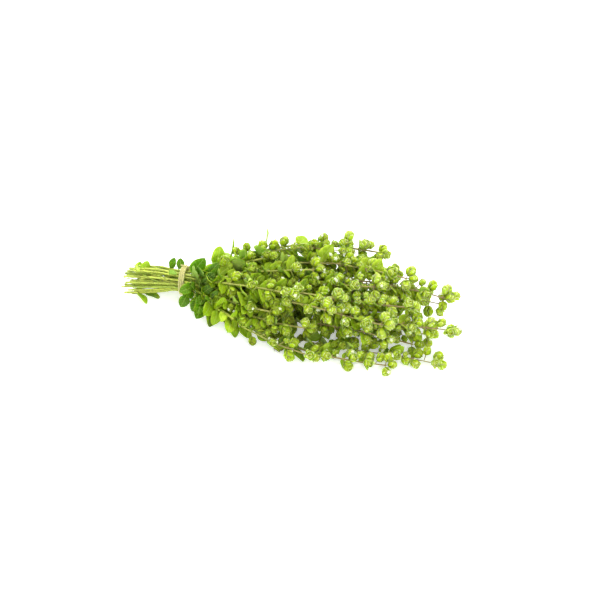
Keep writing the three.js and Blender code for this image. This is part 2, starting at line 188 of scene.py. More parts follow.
def smooth(low, high, x):
    """0 below low, 1 above high, and an S curve between them."""
    t = np.clip((x - low) / (high - low), 0, 1)
    return t * t * (3 - 2 * t)


def draw(sprig, item, use):
    """A number from 0 to 1 that depends only on what it is drawn for: what a large sine has after
    its point. The uses have the same numbers as in the solids, to tell them apart."""
    wave = math.sin(SEED + DRAW_SPRIG * sprig + DRAW_ITEM * item + DRAW_USE * use) * DRAW_SCALE
    return wave - math.floor(wave)


def vary(share, drawn):
    """A factor round 1, from a number from 0 to 1. Share is what lies between the least and the
    most."""
    return 1 + share * (drawn - 0.5)


# Where the bundle's stems run.


def growing(run, scale):
    """0 at the twine and nearly 1 far from it: one less an exponential of a power of the run."""
    return 1 - math.exp(-((max(0, run - TIE_RUN) / scale) ** GROWING_POWER))


def half_width(run):
    """Half the bundle's width: the tie's, and what the fan or the loosening of the cut ends
    adds."""
    fan = FAN_WIDTH * growing(run, FAN_RUN)
    return TIE_RADIUS + fan + BUTT_FLARE * growing(-run, BUTT_LOOSE_RUN)


def half_height(run, across):
    """Half the bundle's height at a place across it. The fan's section is squarer than an oval."""
    fan = FAN_HEIGHT * growing(run, RISE_RUN) / math.sqrt(1 - FAN_SQUARE * across * across)
    return TIE_RADIUS + fan + BUTT_FLARE * growing(-run, BUTT_LOOSE_RUN)


def middle(run):
    """The middle of the bundle, which rises and shifts with the fan, and bends by a power of the
    run towards the cut ends."""
    bend = ((-run - TIE_RUN) / BUTT_RUN) ** BEND_POWER if run < -TIE_RUN else 0
    return TIE + (run, FAN_SHIFT * growing(run, FAN_RUN) - BUTT_BEND * bend,
                  FAN_LIFT * growing(run, RISE_RUN) - BUTT_DROP * bend)


def bundle_point(a, b, run):
    """Where a stem is at a run, from its place (a, b) in the unit disc."""
    turn = BUTT_TWIST * run / BUTT_RUN if run < 0 else 0
    across = a * math.cos(turn) - b * math.sin(turn)
    above = a * math.sin(turn) + b * math.cos(turn)
    opened = growing(run, FAN_RUN)
    bow = opened ** 2 * math.sin(run / WAVE_RUN + WAVE_TURN[0] * a + WAVE_TURN[1] * b)
    point = middle(run)
    point[1] += across * half_width(run) + WAVE_SIDE * bow
    point[2] += above * half_height(run, across) + WAVE_UP * bow
    lowest = LOWEST_BUTT + (LOWEST_STEM - LOWEST_BUTT) * opened
    point[2] = lowest + SOFT_FLOOR * math.log1p(math.exp((point[2] - lowest) / SOFT_FLOOR))
    return point


def place_of(tip):
    """The place of the stem that passes through a tip, found by correcting the middle one."""
    a, b = 0.0, 0.0
    target = np.array([TIE[0] + tip[0], TIE[1] + tip[1], tip[2]])
    for _ in range(ROUNDS):
        miss = target - bundle_point(a, b, tip[0])
        a = min(1, max(-1, a + miss[1] / half_width(tip[0])))
        b += miss[2] / half_height(tip[0], a)
    return [a, b]


def spread(places):
    """Moves places apart until no two are nearer than the least gap. Each gives way to those before
    it."""
    for _ in range(ROUNDS):
        for i, mine in enumerate(places):
            for other in places[:i]:
                dx, dy = mine[0] - other[0], mine[1] - other[1]
                apart = math.hypot(dx, dy)
                lack = STEM_GAP - apart
                if lack <= 0:
                    continue
                dx, dy = dx / apart * lack, dy / apart * lack
                mine[0] += YIELDS * dx
                mine[1] += YIELDS * dy
                other[0] += (YIELDS - 1) * dx
                other[1] += (YIELDS - 1) * dy
            far = math.hypot(*mine)
            if far > 1:
                mine[0] /= far
                mine[1] /= far
    return places


class Sprig:
    """One sprig's course, and what grows on it."""

    def __init__(self, k, a, b):
        side = 1 - SIDE_LOSS * abs(a) ** SIDE_POWER
        top = 1 - TOP_LOSS * max(0, b) ** TOP_POWER
        filler = FILLER_REACH * LONGEST_RUN * side * top * (1 - LENGTH_VARIES * draw(k, 0, 1))
        self.k, self.a, self.b = k, a, b
        self.reach = OUTSTANDING_TIPS[k][0] if k < len(OUTSTANDING_TIPS) else filler
        self.leafy = self.reach < LEAFY_RUN
        butt = -BUTT_RUN - BUTT_VARIES * (2 * draw(k, 0, 4) - 1)
        inner = [run for run in STEM_RUNS if run < self.reach - SHORTEST_STEP]
        self.runs = np.array([butt, *inner, self.reach], float)
        self.course = np.array([bundle_point(a, b, run) for run in self.runs])
        self.roll = draw(k, 0, 9) * math.pi
        self.heads, self.leaves, self.joints = [], [], []
        self.more_heads, self.more_leaves = [], []
        name = f"sprig_{k + 1:02d}"
        self.node = f"leafy_{name}" if self.leafy else name

    def point(self, run):
        """The middle of the stem at a run. It is straight between its bends."""
        run = np.asarray(run, float)
        bend = np.clip(np.searchsorted(self.runs, run, "right") - 1, 0, len(self.runs) - 2)
        share = (run - self.runs[bend]) / (self.runs[bend + 1] - self.runs[bend])
        return self.course[bend] + share[..., None] * (self.course[bend + 1] - self.course[bend])

    def frame(self, run):
        """The stem's middle and direction at a run, and two directions square to it."""
        along = unit(self.point(run + 0.5) - self.point(run - 0.5))
        side = unit(np.cross(UP, along))
        return self.point(run), along, side, np.cross(along, side)


def leaning(axes, roll, angle):
    """A direction between a stem's own and straight out from it."""
    _, along, side, up = axes
    return along * math.cos(angle) + (side * math.cos(roll) + up * math.sin(roll)) * math.sin(angle)


def head_axes(along):
    """Two directions square to a head's own."""
    aside = UP if abs(along[2]) < UPRIGHT else np.array([1.0, 0, 0])
    u = unit(np.cross(aside, along))
    return u, np.cross(along, u)


def head_corners(head):
    """The corners that the solid head has: three tiers of four."""
    u, w = head_axes(head["along"])
    length, radius = HEAD_LENGTH * head["size"], HEAD_RADIUS * head["size"]
    corners = []
    for share, wide, turn in HEAD_TIERS:
        angle = head["roll"] + turn + np.arange(4) * math.pi / 2
        centre = head["root"] + head["along"] * (head["stalk"] + share * length)
        corners.append(centre + wide * radius * turned(angle, u, w))
    return np.concatenate(corners)


def leaf_corners(leaf):
    """The corners that the solid leaf has: two sections of three, and its tip."""
    across = np.cross(leaf["face"], leaf["along"])
    corners = []
    for share, half, thick in LEAF_SECTIONS:
        at = (leaf["root"] + leaf["along"] * leaf["length"] * share
              - leaf["face"] * LEAF_ARCH * leaf["length"] * share * share)
        half = half * leaf["width"]
        corners += [at + across * half, at - across * half, at - leaf["face"] * LEAF_THICK * thick]
    return np.array(corners[:-2])


def kept(sprig, piece_at, corners_of):
    """The piece as the solid has it: the turn and press most of whose corners are in the node's
    mesh."""
    best, most = None, LEAST_FOUND
    for press in PRESSES:
        for turn in TURNS:
            piece = piece_at(turn, press)
            gaps = np.linalg.norm(corners_of(piece)[:, None] - sprig.corners[None], axis=-1)
            share = (gaps.min(1) < FOUND_WITHIN).mean()
            if share > most:
                best, most = piece, share
    return best


def find_head(sprig, item, run, roll, angle, stalk):
    """Notes a head of the solid sprig, if that has it."""
    size = vary(HEAD_VARIES, draw(sprig.k, item, 6))
    axes = sprig.frame(run)

    def piece_at(turn, press):
        own_roll = draw(sprig.k, item, 7) * math.pi
        return head_piece(axes, roll + turn, angle * press, stalk, size, own_roll, run)

    head = kept(sprig, piece_at, head_corners)
    if head:
        sprig.heads.append(head)


def find_leaf(sprig, item, run, roll, length):
    """Notes a leaf of the solid sprig, if that has it."""
    axes = sprig.frame(run)
    angle = LEAF_ANGLE * vary(LEAF_ANGLE_VARIES, draw(sprig.k, item, 8))

    def piece_at(turn, press):
        return leaf_piece(axes, roll + turn, angle * press, length, run)

    leaf = kept(sprig, piece_at, leaf_corners)
    if leaf:
        sprig.leaves.append(leaf)


def head_piece(axes, roll, angle, stalk, size, own_roll, run):
    """A head whose stalk leaves its stem at an angle."""
    return {"root": axes[0], "along": leaning(axes, roll, angle), "stalk": stalk, "size": size,
            "roll": own_roll, "run": run}


def leaf_piece(axes, roll, angle, length, run, stalk=0.0, shape=LEAF_SHAPE):
    """A leaf that leaves its stem at an angle and twists to face upwards."""
    along = leaning(axes, roll, angle)
    face = leaning(axes, roll, angle - math.pi / 2) + UP * FACE_UP
    face = unit(face - along * (face @ along))
    return {"root": axes[0] + along * stalk, "along": along, "face": face, "length": length,
            "width": length * shape, "run": run, "foot": axes[0]}


def find_pair(sprig, item, node, find_one):
    """Opposite pieces at a node, a quarter turn from those of the node before it."""
    roll = sprig.roll + node * math.pi / 2
    find_one(item + 2 * node, roll)
    find_one(item + 2 * node + 1, roll + math.pi)


def find_heads(sprig):
    """The three heads at the tip and the pairs of heads below them. Returns the last one's run."""
    tip = sprig.reach - TIP_ROOT
    find_head(sprig, 1, tip, sprig.roll, TIP_HEAD_ANGLE, TIP_STALK)
    find_pair(sprig, HEAD_ITEM, 0,
              lambda item, roll: find_head(sprig, item, tip, roll, TIP_SIDE_ANGLE,
                                           TIP_SIDE_STALK))
    last = sprig.reach
    for n, back in enumerate(HEAD_NODES):
        run = sprig.reach - back - NODE_VARIES * draw(sprig.k, n, 10)
        if run < FIRST_HEAD_RUN:
            break
        find_pair(sprig, HEAD_ITEM, n + 1,
                  lambda item, roll: find_head(sprig, item, run, roll, HEAD_ANGLE,
                                               STALK_LENGTH + STALK_GROWS * n))
        last = run
        sprig.joints.append(run)
    return last


def find_leaves(sprig, last):
    """The pairs of leaves below the heads."""
    most = OUTER_LEAF_NODES if math.hypot(sprig.a, sprig.b) > OUTER else INNER_LEAF_NODES
    run = last - FIRST_LEAF_GAP * vary(LEAF_GAP_VARIES, draw(sprig.k, 0, 12))
    for n in range(most):
        if run <= FIRST_LEAF_RUN:
            break
        length = (LEAF_LENGTH + LEAF_GROWS * n) * vary(LEAF_VARIES, draw(sprig.k, n, 13))
        find_pair(sprig, LEAF_ITEM, n, lambda item, roll: find_leaf(sprig, item, run, roll, length))
        sprig.joints.append(run)
        run -= LEAF_GAP * vary(LEAF_GAP_VARIES, draw(sprig.k, n, 14))


def find_shoot(sprig):
    """The pairs of leaves of a leafy sprig."""
    for n in range(SHOOT_NODES):
        run = sprig.reach - TIP_ROOT - SHOOT_GAP * n
        if run < FIRST_SHOOT_RUN:
            break
        length = SHOOT_LEAF + SHOOT_GROWS * n
        find_pair(sprig, LEAF_ITEM, n, lambda item, roll: find_leaf(sprig, item, run, roll, length))
        sprig.joints.append(run)


def find_bunch():
    """All sprigs, with the heads and leaves that their solids have."""
    golden = math.pi * (3 - math.sqrt(5))
    fillers = SPRIG_COUNT - len(OUTSTANDING_TIPS)
    places = [place_of(tip) for tip in OUTSTANDING_TIPS]
    for k in range(fillers):
        radius = FILLER_REGION * math.sqrt((k + 0.5) / fillers)
        places.append([radius * math.cos(k * golden), radius * math.sin(k * golden)])
    bunch = [Sprig(k, a, b) for k, (a, b) in enumerate(spread(places))]
    for sprig in bunch:
        mesh = frame["nodes"][sprig.node].data
        corners = np.empty(len(mesh.vertices) * 3, np.float32)
        mesh.vertices.foreach_get("co", corners)
        sprig.corners = np.unique(corners.reshape(-1, 3).round(6), axis=0) / MM
    for n, (run, way, length) in enumerate(STRAY_LEAVES):
        bearer = max(bunch, key=lambda sprig: sprig.a * math.cos(way) + sprig.b * math.sin(way))
        find_leaf(bearer, STRAY_ITEM + n, run, way, length)
    for sprig in bunch:
        if sprig.leafy:
            find_shoot(sprig)
        else:
            find_leaves(sprig, find_heads(sprig))
    return bunch


# Closed surfaces. Each is a stack of rings of points between two poles.


class Rings:
    """The points and faces of a closed surface with a pole at each end and rings of points between
    them.

    Each point has its way along (0 to 1), its angle round, and the cosine and sine of that, across
    and over, which are 0 at the poles. Rings are close together near the poles where ease is 1, and
    evenly spaced where it is 0. Sides is their number, or their angles in degrees.
    """

    def __init__(self, rings, sides, ease=1.0):
        even = (np.arange(rings) + 1) / (rings + 1)
        along = (1 - ease) * even + ease * (1 - np.cos(math.pi * even)) / 2
        if isinstance(sides, tuple):
            sides, angle = len(sides), np.radians(sides)
        else:
            angle = TURN * np.arange(sides) / sides
        self.sides = sides
        self.along = np.concatenate([[0], np.repeat(along, sides), [1]])
        self.angle = np.concatenate([[0], np.tile(angle, rings), [0]])
        self.open = np.concatenate([[0], np.ones(rings * sides), [0]])  # 0 at the poles
        self.across, self.over = np.cos(self.angle) * self.open, np.sin(self.angle) * self.open
        self.count = len(self.along)
        j = np.arange(sides)
        k = (j + 1) % sides
        start = 1 + sides * np.arange(rings - 1)[:, None]
        quads = [start + j, start + k, start + sides + k, start + sides + j]
        self.quads = np.stack(quads, -1).reshape(-1, 4)
        last = 1 + sides * (rings - 1)
        self.tris = np.concatenate([
            np.stack([0 * j, 1 + k, 1 + j], -1),
            np.stack([last + j, last + k, 0 * j + self.count - 1], -1),
        ])

    def each(self, values):
        """Values of the rings, spread over the points of each. The poles have those beside them."""
        return np.concatenate([values[:1], np.repeat(values, self.sides), values[-1:]])


TOUCHES = 0.4  # the height below which the table presses things up


class Growth:
    """Surfaces of one piece, each with its material, and for each point its UV and two numbers:
    tone, which differs from one leaf or head to the next and carries their painted shade and light,
    and side, which is 1 underneath a blade."""

    def __init__(self):
        self.points, self.uv, self.marks = [], [], []
        self.tris, self.quads, self.tri_material, self.quad_material = [], [], [], []
        self.rounded = []
        self.count = 0

    def add(self, rings, points, material, tone=0.5, side=0.0, uv=None, cut=False):
        """Adds surfaces with the same rings. Points has the axes of the surfaces, then that of the
        rings' points, then x, y and z. The other values are spread over those before the last. Ends
        that are cut are flat."""
        points = np.asarray(points, float)
        values = *(uv or (0.5 + 0.5 * rings.across, rings.along)), tone, side
        u, v, tone, side = (np.broadcast_to(value, points.shape[:-1]).ravel() for value in values)
        copies = len(u) // rings.count
        self.points.append(points.reshape(-1, 3))
        self.uv.append(np.stack([u, v], -1))
        self.marks.append(np.stack([tone, side], -1))
        start = self.count + rings.count * np.arange(copies)[:, None, None]
        self.tris.append((rings.tris + start).reshape(-1, 3))
        self.quads.append((rings.quads + start).reshape(-1, 4))
        self.rounded.append(np.full(len(self.tris[-1]), not cut))
        self.tri_material.append(np.full(len(self.tris[-1]), material))
        self.quad_material.append(np.full(len(self.quads[-1]), material))
        self.count += copies * rings.count

    def make(self, name, materials):
        """One mesh object of all that was added. What is lower than a little above the table is
        pressed up: its height there is an exponential curve that meets the straight one at the same
        slope."""
        points = np.concatenate(self.points)
        low = points[:, 2] < TOUCHES
        points[low, 2] = TOUCHES * np.exp(points[low, 2] / TOUCHES - 1)
        points *= MM
        tris, quads = np.concatenate(self.tris), np.concatenate(self.quads)
        corners = np.concatenate([tris.ravel(), quads.ravel()]).astype(np.int32)
        sizes = np.concatenate([np.full(len(tris), 3), np.full(len(quads), 4)])
        starts = np.concatenate([[0], np.cumsum(sizes)[:-1]]).astype(np.int32)
        material = np.concatenate(self.tri_material + self.quad_material).astype(np.int32)
        mesh = bpy.data.meshes.new(name)
        mesh.vertices.add(len(points))
        mesh.vertices.foreach_set("co", points.astype(np.float32).ravel())
        mesh.loops.add(len(corners))
        mesh.loops.foreach_set("vertex_index", corners)
        mesh.polygons.add(len(sizes))
        mesh.polygons.foreach_set("loop_start", starts)
        mesh.polygons.foreach_set("material_index", material)
        rounded = np.concatenate([*self.rounded, np.ones(len(quads), bool)])
        mesh.polygons.foreach_set("use_smooth", rounded)
        layer = mesh.uv_layers.new(name="surface")
        layer.data.foreach_set("uv", np.concatenate(self.uv)[corners].astype(np.float32).ravel())
        marks = np.concatenate(self.marks).astype(np.float32)
        for label, values in zip(("tone", "side"), marks.T):
            attribute = mesh.attributes.new(label, "FLOAT", "POINT")
            attribute.data.foreach_set("value", np.ascontiguousarray(values))
        mesh.update(calc_edges=True)
        mesh.validate()
        for made in materials:
            mesh.materials.append(made)
        piece = bpy.data.objects.new(name, mesh)
        bpy.context.scene.collection.objects.link(piece)
        return piece


# A sprig's materials, by their places in its piece.
STEM, LEAF, CORE, BRACT, PETAL, HAIR, OLD_LEAF = range(7)

# Stems.

STEM_SIDES = 12
STEM_STEP = 2.6
STEM_VARIES = 0.3
SQUARENESS = 0.12
JOINT_SWELL, JOINT_REACH = 0.28, 1.6
CUT_EDGE = 0.02  # from the rim of a cut to its middle, as a share of a step
SCAR_RUNS, SCAR_VARIES = (10, 27), 10
SCAR_CLEAR = 3  # no scar is nearer to the cut end
STUB, STUB_RADIUS, STUB_LEAN, STUB_IN = 0.9, 0.36, 0.9, 0.4
STALK_RINGS, STALK_WAIST, STALK_WIDENS = Rings(3, 6, 0.3), 0.85, 0.9
STALK_UP = UP + 0.01  # off straight up, because a stalk may point that way
HAIR_RINGS = Rings(1, 3)
HAIR_UP = UP + 0.017
HAIR_RADIUS = 0.035
HAIR_LENGTH, HAIR_LEAN = (0.5, 0.95), (-0.2, 0.6)
HAIR_ROOT = 0.8  # of a stem's radius
LOOSE_MOST = 2
LOOSE_START, LOOSE_POWER = -3.0, 1.2
LOOSE_FARTHEST = 1.1  # from the bundle's middle, where 1 is its rim
LOOSE_TURN, LOOSE_OUT = (0.5, 1.9), (0.8, 1.4)
LOOSE_BACK, LOOSE_GIRTH = (-1, 14), (0.36, 0.6)
LOOSE_POINTS, LOOSE_SIDES = 12, 7


def evened(path):
    """A path with each of its points averaged with those beside it."""
    path[1:-1] = 0.25 * path[:-2] + 0.5 * path[1:-1] + 0.25 * path[2:]
    return path


def add_swept(growth, path, radius, sides, tone, backwards, corner=0.0, square=0.0):
    """A stem along a path: round each of its points a ring in the plane square to the path, whose
    radius is larger at four corners and smaller between them by the share square. Its map starts at
    the cut end, which is the path's last point where that runs backwards."""
    along = unit(np.gradient(path, axis=0))
    side = unit(np.cross(UP, along))
    up = np.cross(along, side)
    angle = corner + TURN * np.arange(sides) / sides
    wide = np.reshape(radius, (-1, 1)) * (1 - square + square * np.cos(4 * (angle - corner)))
    round_it = path[:, None] + wide[..., None] * turned(angle, side[:, None], up[:, None])
    points = np.concatenate([path[:1], round_it.reshape(-1, 3), path[-1:]])
    rings = Rings(len(path), sides, 0)
    length = rings.each(np.linspace(0, 1, len(path)))
    growth.add(rings, points, STEM, tone=tone,
               uv=(rings.angle / TURN, 1 - length if backwards else length), cut=True)


def add_stem(growth, sprig, sizes, rng):
    """A square stem with rounded corners, a little swollen where its leaves and heads stand, that
    gets thinner in proportion to its run from the twine."""
    count = int((sprig.reach - sprig.runs[0]) / STEM_STEP) + 2
    runs = np.linspace(sprig.runs[0], sprig.reach, count)
    path = evened(sprig.point(runs))
    radius = STEM_RADIUS + (TIP_STEM_RADIUS - STEM_RADIUS) * np.maximum(0, runs / LONGEST_RUN)
    scars = [-run - SCAR_VARIES * draw(sprig.k, n, 23) for n, run in enumerate(SCAR_RUNS)]
    for joint in sprig.joints + scars:
        radius = radius * (1 + JOINT_SWELL * np.exp(-((runs - joint) / JOINT_REACH) ** 2))
    girth = sizes.stem_girth * vary(STEM_VARIES, draw(sprig.k, 0, 22))
    radius = np.concatenate([radius[:1], radius]) * girth
    path = np.concatenate([path[:1] + CUT_EDGE * (path[:1] - path[1:2]), path])
    tone = draw(sprig.k, 0, 21)
    add_swept(growth, path, radius, STEM_SIDES, tone, False, sprig.roll + math.pi / 4, SQUARENESS)
    add_hairs(growth, path[2:], radius[2:], sizes, rng)
    add_scars(growth, sprig, scars, STEM_RADIUS * girth, tone)


def add_hairs(growth, path, radius, sizes, rng):
    """Short pale hairs on a stem, which stand nearly straight out of it."""
    count = int(sizes.stem_hairs * len(path) * STEM_STEP)
    spot = rng.uniform(0, len(path) - 1.001, count)
    whole, part = spot.astype(int), (spot % 1)[:, None]
    root = path[whole] * (1 - part) + path[whole + 1] * part
    along = unit(path[whole + 1] - path[whole])
    side = unit(np.cross(UP, along))
    out = turned(rng.uniform(0, TURN, count), side, np.cross(along, side))
    way = unit(out + along * rng.uniform(*HAIR_LEAN, (count, 1)))
    start = root + out * (HAIR_ROOT * radius[whole])[:, None]
    add_needles(growth, start, way, rng.uniform(*HAIR_LENGTH, (count, 1)), rng)


def add_needles(growth, start, way, long, rng):
    """Straight hairs, each two pyramids base to base, of which the one at the root is short."""
    across = unit(np.cross(way, HAIR_UP))
    over = np.cross(way, across)
    thick = (HAIR_RADIUS * HAIR_RINGS.open)[:, None]
    points = (start[:, None] + way[:, None] * (long * HAIR_RINGS.along ** 3)[..., None]
              + thick * turned(HAIR_RINGS.angle, across[:, None], over[:, None]))
    growth.add(HAIR_RINGS, points, HAIR, tone=rng.uniform(size=(len(start), 1)))


def add_scars(growth, sprig, runs, radius, tone):
    """What is left of the leaves that were stripped off below the twine: two short stubs at each
    joint there."""
    roots, tips = [], []
    for n, run in enumerate(runs):
        if run < sprig.runs[0] + SCAR_CLEAR:
            continue
        axes = sprig.frame(run)
        for turn in (0, math.pi):
            way = leaning(axes, sprig.roll + n * math.pi / 2 + turn, STUB_LEAN)
            long = radius + STUB * (0.5 + draw(sprig.k, n, 24 + turn))
            roots.append(axes[0] + STUB_IN * radius * way)
            tips.append(axes[0] + long * way)
    if roots:
        add_stalks(growth, roots, tips, STUB_RADIUS, tone)


def add_loose_ends(growth, sprig, sizes, rng):
    """Thin side shoots cut off with their stem: round tubes from the twine, each of which crosses
    to another place among the cut ends, by a power of its way there."""
    place = complex(sprig.a, sprig.b)
    share = np.linspace(0, 1, LOOSE_POINTS)
    for _ in range(rng.integers(0, LOOSE_MOST + 1)):
        turn = rng.uniform(*LOOSE_TURN) * rng.choice([-1, 1])
        out = min(rng.uniform(*LOOSE_OUT), LOOSE_FARTHEST / abs(place))
        end, girth = sprig.runs[0] + rng.uniform(*LOOSE_BACK), rng.uniform(*LOOSE_GIRTH)
        there = place * complex(math.cos(turn), math.sin(turn)) * out
        places = place + (there - place) * share ** LOOSE_POWER
        runs = LOOSE_START + (end - LOOSE_START) * share
        path = np.array([bundle_point(at.real, at.imag, run) for at, run in zip(places, runs)])
        path[:, 2] = np.maximum(path[:, 2], girth)
        path = np.concatenate([path, path[-1:] + CUT_EDGE * (path[-1:] - path[-2:-1])])
        add_swept(growth, path, girth * sizes.stem_girth, LOOSE_SIDES, rng.uniform(), True)


def add_tubes(growth, roots, tips, wide, material, tone=0.5):
    """Straight round tubes from roots to tips. Wide has their radius at each of the rings'
    points."""
    along = unit(tips - roots)
    side = unit(np.cross(STALK_UP, along))
    up = np.cross(along, side)
    points = (roots[:, None] + (tips - roots)[:, None] * STALK_RINGS.along[:, None]
              + (wide * STALK_RINGS.open)[:, None]
              * turned(STALK_RINGS.angle, side[:, None], up[:, None]))
    growth.add(STALK_RINGS, points, material, tone=np.reshape(tone, (-1, 1)))


def add_stalks(growth, roots, tips, radius, tone):
    """Short stalks: tubes that widen a little to both ends, by the square of the way from the
    middle."""
    wide = radius * (STALK_WAIST + STALK_WIDENS * (STALK_RINGS.along - 0.5) ** 2)
    add_tubes(growth, np.array(roots), np.array(tips), wide, STEM, tone)


# Leaves.

# Kinds of leaves: their rings, fewer for shorter ones, the lengths that the scene's own have from
# and below, and whether the solids' leaves are of this kind.
LEAF_KINDS = (
    (Rings(13, 8, 0.7), 13.0, math.inf, True),
    (Rings(8, 8), 7.5, 13.0, False),
    (Rings(5, 8), 0.0, 7.5, False),
)
WIDEST = 0.45  # where along it a leaf is
OVAL_BELOW, OVAL_POWERS = 0.02, (2.1, 0.66)  # how far the oval goes on below the blade; its form
FOOT_WIDTH, FOOT_REACH = 0.12, 0.36  # of the blade where it starts, as a share of its widest
STALK_WIDTH, STALK_REACH = 0.1, 0.5  # of the stalk that runs on under it
LEAF_STALK, LEAF_STALK_TONE, LEAF_STALK_IN = 0.45, 0.3, 0.1
LEAF_FOLD, LEAF_TWIST, LEAF_BOW = (0.02, 0.34), (-0.35, 0.35), (-0.08, 0.08)
RIM_WAVE, RIM_WAVES = 0.07, 9
VEIN_PAIRS, VEIN_SLANT = 6, 1.4
VEIN_SHARE, RIB_SHARE, RIB_WIDTH = 0.3, 0.8, 0.2
FOOT_THICK, FOOT_THICK_REACH = 0.9, 0.22


def arrays(pieces, *keys):
    """What pieces have under each key, as arrays."""
    return [np.array([piece[key] for piece in pieces]) for key in keys]


def leaf_half(t):
    """Half a leaf's width along it, as a share of its widest: an oval, widest before its middle,
    that comes to a blunt point at the tip and narrows to its stalk."""
    off = np.where(t > WIDEST, (t - WIDEST) / (1 - WIDEST), (WIDEST - t) / (WIDEST + OVAL_BELOW))
    oval = np.clip(1 - off ** OVAL_POWERS[0], 0, 1) ** OVAL_POWERS[1]
    return np.maximum(oval * (FOOT_WIDTH + (1 - FOOT_WIDTH) * smooth(0, FOOT_REACH, t)),
                      STALK_WIDTH * (1 - smooth(0, STALK_REACH, t)))


def add_leaves(growth, leaves, rings, sizes, material, rng):
    """Leaves: blades with the section of a lens. A blade's middle line hangs by the square of its
    way along; its halves fold up from the rib, its rim waves, and it is pressed in along the rib
    and the side veins."""
    if not leaves:
        return
    stalked = [leaf for leaf in leaves if np.linalg.norm(leaf["root"] - leaf["foot"]) > 0.1]
    if stalked:
        feet = [leaf["foot"] for leaf in stalked]
        ends = [leaf["root"] + LEAF_STALK_IN * leaf["length"] * leaf["along"] for leaf in stalked]
        add_stalks(growth, feet, ends, LEAF_STALK, LEAF_STALK_TONE)
    keys = "root", "along", "face", "length", "width", "tone"
    root, along, face, length, width, tone = (values[:, None] for values in arrays(leaves, *keys))
    fold, twist, phase, bow = (rng.uniform(*between, (len(leaves), 1)) for between in
                               (LEAF_FOLD, LEAF_TWIST, ANY_TURN, LEAF_BOW))
    t, s = rings.along, rings.across
    half = width * sizes.leaf_width * leaf_half(t)
    aside = s * half + bow * length * np.sin(math.pi * t)
    veins = np.cos(TURN * (VEIN_PAIRS * t - VEIN_SLANT * np.abs(s)))
    pressed = (VEIN_SHARE * veins * (1 - s ** 2) * np.sin(math.pi * t)
               + RIB_SHARE * np.exp(-(s / RIB_WIDTH) ** 2))
    thick = 0.5 + FOOT_THICK * (1 - smooth(0, FOOT_THICK_REACH, t))
    rise = (-LEAF_ARCH * length * t ** 2 + fold * np.abs(s) * half + twist * s * half * t
            + RIM_WAVE * width * np.sin(RIM_WAVES * t + phase) * s ** 2
            - sizes.vein_depth * pressed + sizes.leaf_thickness * thick * rings.over)
    points = (root + along * (length * t)[..., None] + np.cross(face, along) * aside[..., None]
              + face * rise[..., None])
    growth.add(rings, points, material, tone=tone, side=0.5 - 0.5 * rings.over,
               uv=(0.5 + 0.5 * s, t))


# Flower heads.

CORE_RINGS = Rings(4, 8)
BRACT_ANGLES = (0, 62, 118, 180, 270)  # finer outside than inside
BRACT_SIDES, BRACT_RIM = len(BRACT_ANGLES), 3  # of a ring's points, the first and that one are rims
BRACT_RINGS = Rings(7, BRACT_ANGLES)
PETAL_RINGS = Rings(3, 6)
HEAD_MIDDLE, HEAD_HALF, EGG = 0.44, 0.5, 0.14
CORE_WIDTH, CORE_LENGTH = 0.86, 0.97
HEAD_STALK, HEAD_STALK_IN = 0.4, 0.12
BRACT_PAIRS, FEWER_PAIRS = 9, 7  # of a head that the solids have, and of one that they don't
LOWEST_BRACT, BRACT_SPAN = 2.95, 2.4  # angles from the head's tip, and from there to the top pair
BRACT_REACH = 1.25
BRACT_HALF = (0.34, 0.56)  # near the head's tip, and what is added at its middle
BRACT_POWERS, BRACT_MOST = (0.9, 0.6), 0.94  # its form; the most of the egg that it covers
BRACT_BEND, BRACT_WAVE, BRACT_WAVES = 0.46, 0.14, 7
LEAST_ROUND = 0.25  # of the egg's radius, that a bract bends round
TIP_LIFT, FOOT_SINK = 0.35, 0.45
FLARE, FLARE_LOSS = (0.3, 1.3), 0.7  # and what it loses up to the top pair
# How much single bracts differ: in turn, in where they grow, in reach, in flare and in tone.
TURN_VARIES, START_VARIES, REACH_VARIES, FLARE_VARIES, BRACT_TONE_VARIES = 0.2, 0.1, 0.15, 0.6, 0.16
FRINGE_RINGS, FRINGE_LENGTH = (2, 6), (0.45, 0.9)
FRINGE_UP, FRINGE_VARIES, FRINGE_IN = 0.8, (-0.3, 0.3), 0.1
FLORETS_MOST = 3
FLORET_POLAR, FLORET_OUT = (0.35, 1.5), (0.5, 1.3)
FLORET_UP = UP + 0.013
TUBE_IN, TUBE_NARROW, TUBE_BROAD = 1.2, 0.34, 0.5
PETALS, PETAL_LENGTH, PETAL_WIDTH, PETAL_POWERS = 5, (1.15, 1.6), 0.3, (1.4, 0.7)
PETAL_RISE, PETAL_FALL, PETAL_THICK = 0.45, 0.6, 0.1


def head_arrays(heads):
    """The heads' roots, lower ends, axes, sizes and rolls as arrays."""
    root, along, size, stalk, roll = arrays(heads, "root", "along", "size", "stalk", "roll")
    axes = np.array([head_axes(way) for way in along])
    return root, root + along * stalk[:, None], along, axes[:, 0], axes[:, 1], size, roll


def egg(polar):
    """The flower head's own form: its radius and its height at an angle from its tip, as shares of
    its radius and its length. It is an egg whose wide end is at the stalk."""
    return np.sin(polar) * (1 - EGG * np.cos(polar)), HEAD_MIDDLE + HEAD_HALF * np.cos(polar)


def spoon(t, powers):
    """A rounded blade's half width along it: a power of the sine of a power of the way."""
    return np.clip(np.sin(math.pi * t ** powers[0]), 0, 1) ** powers[1]


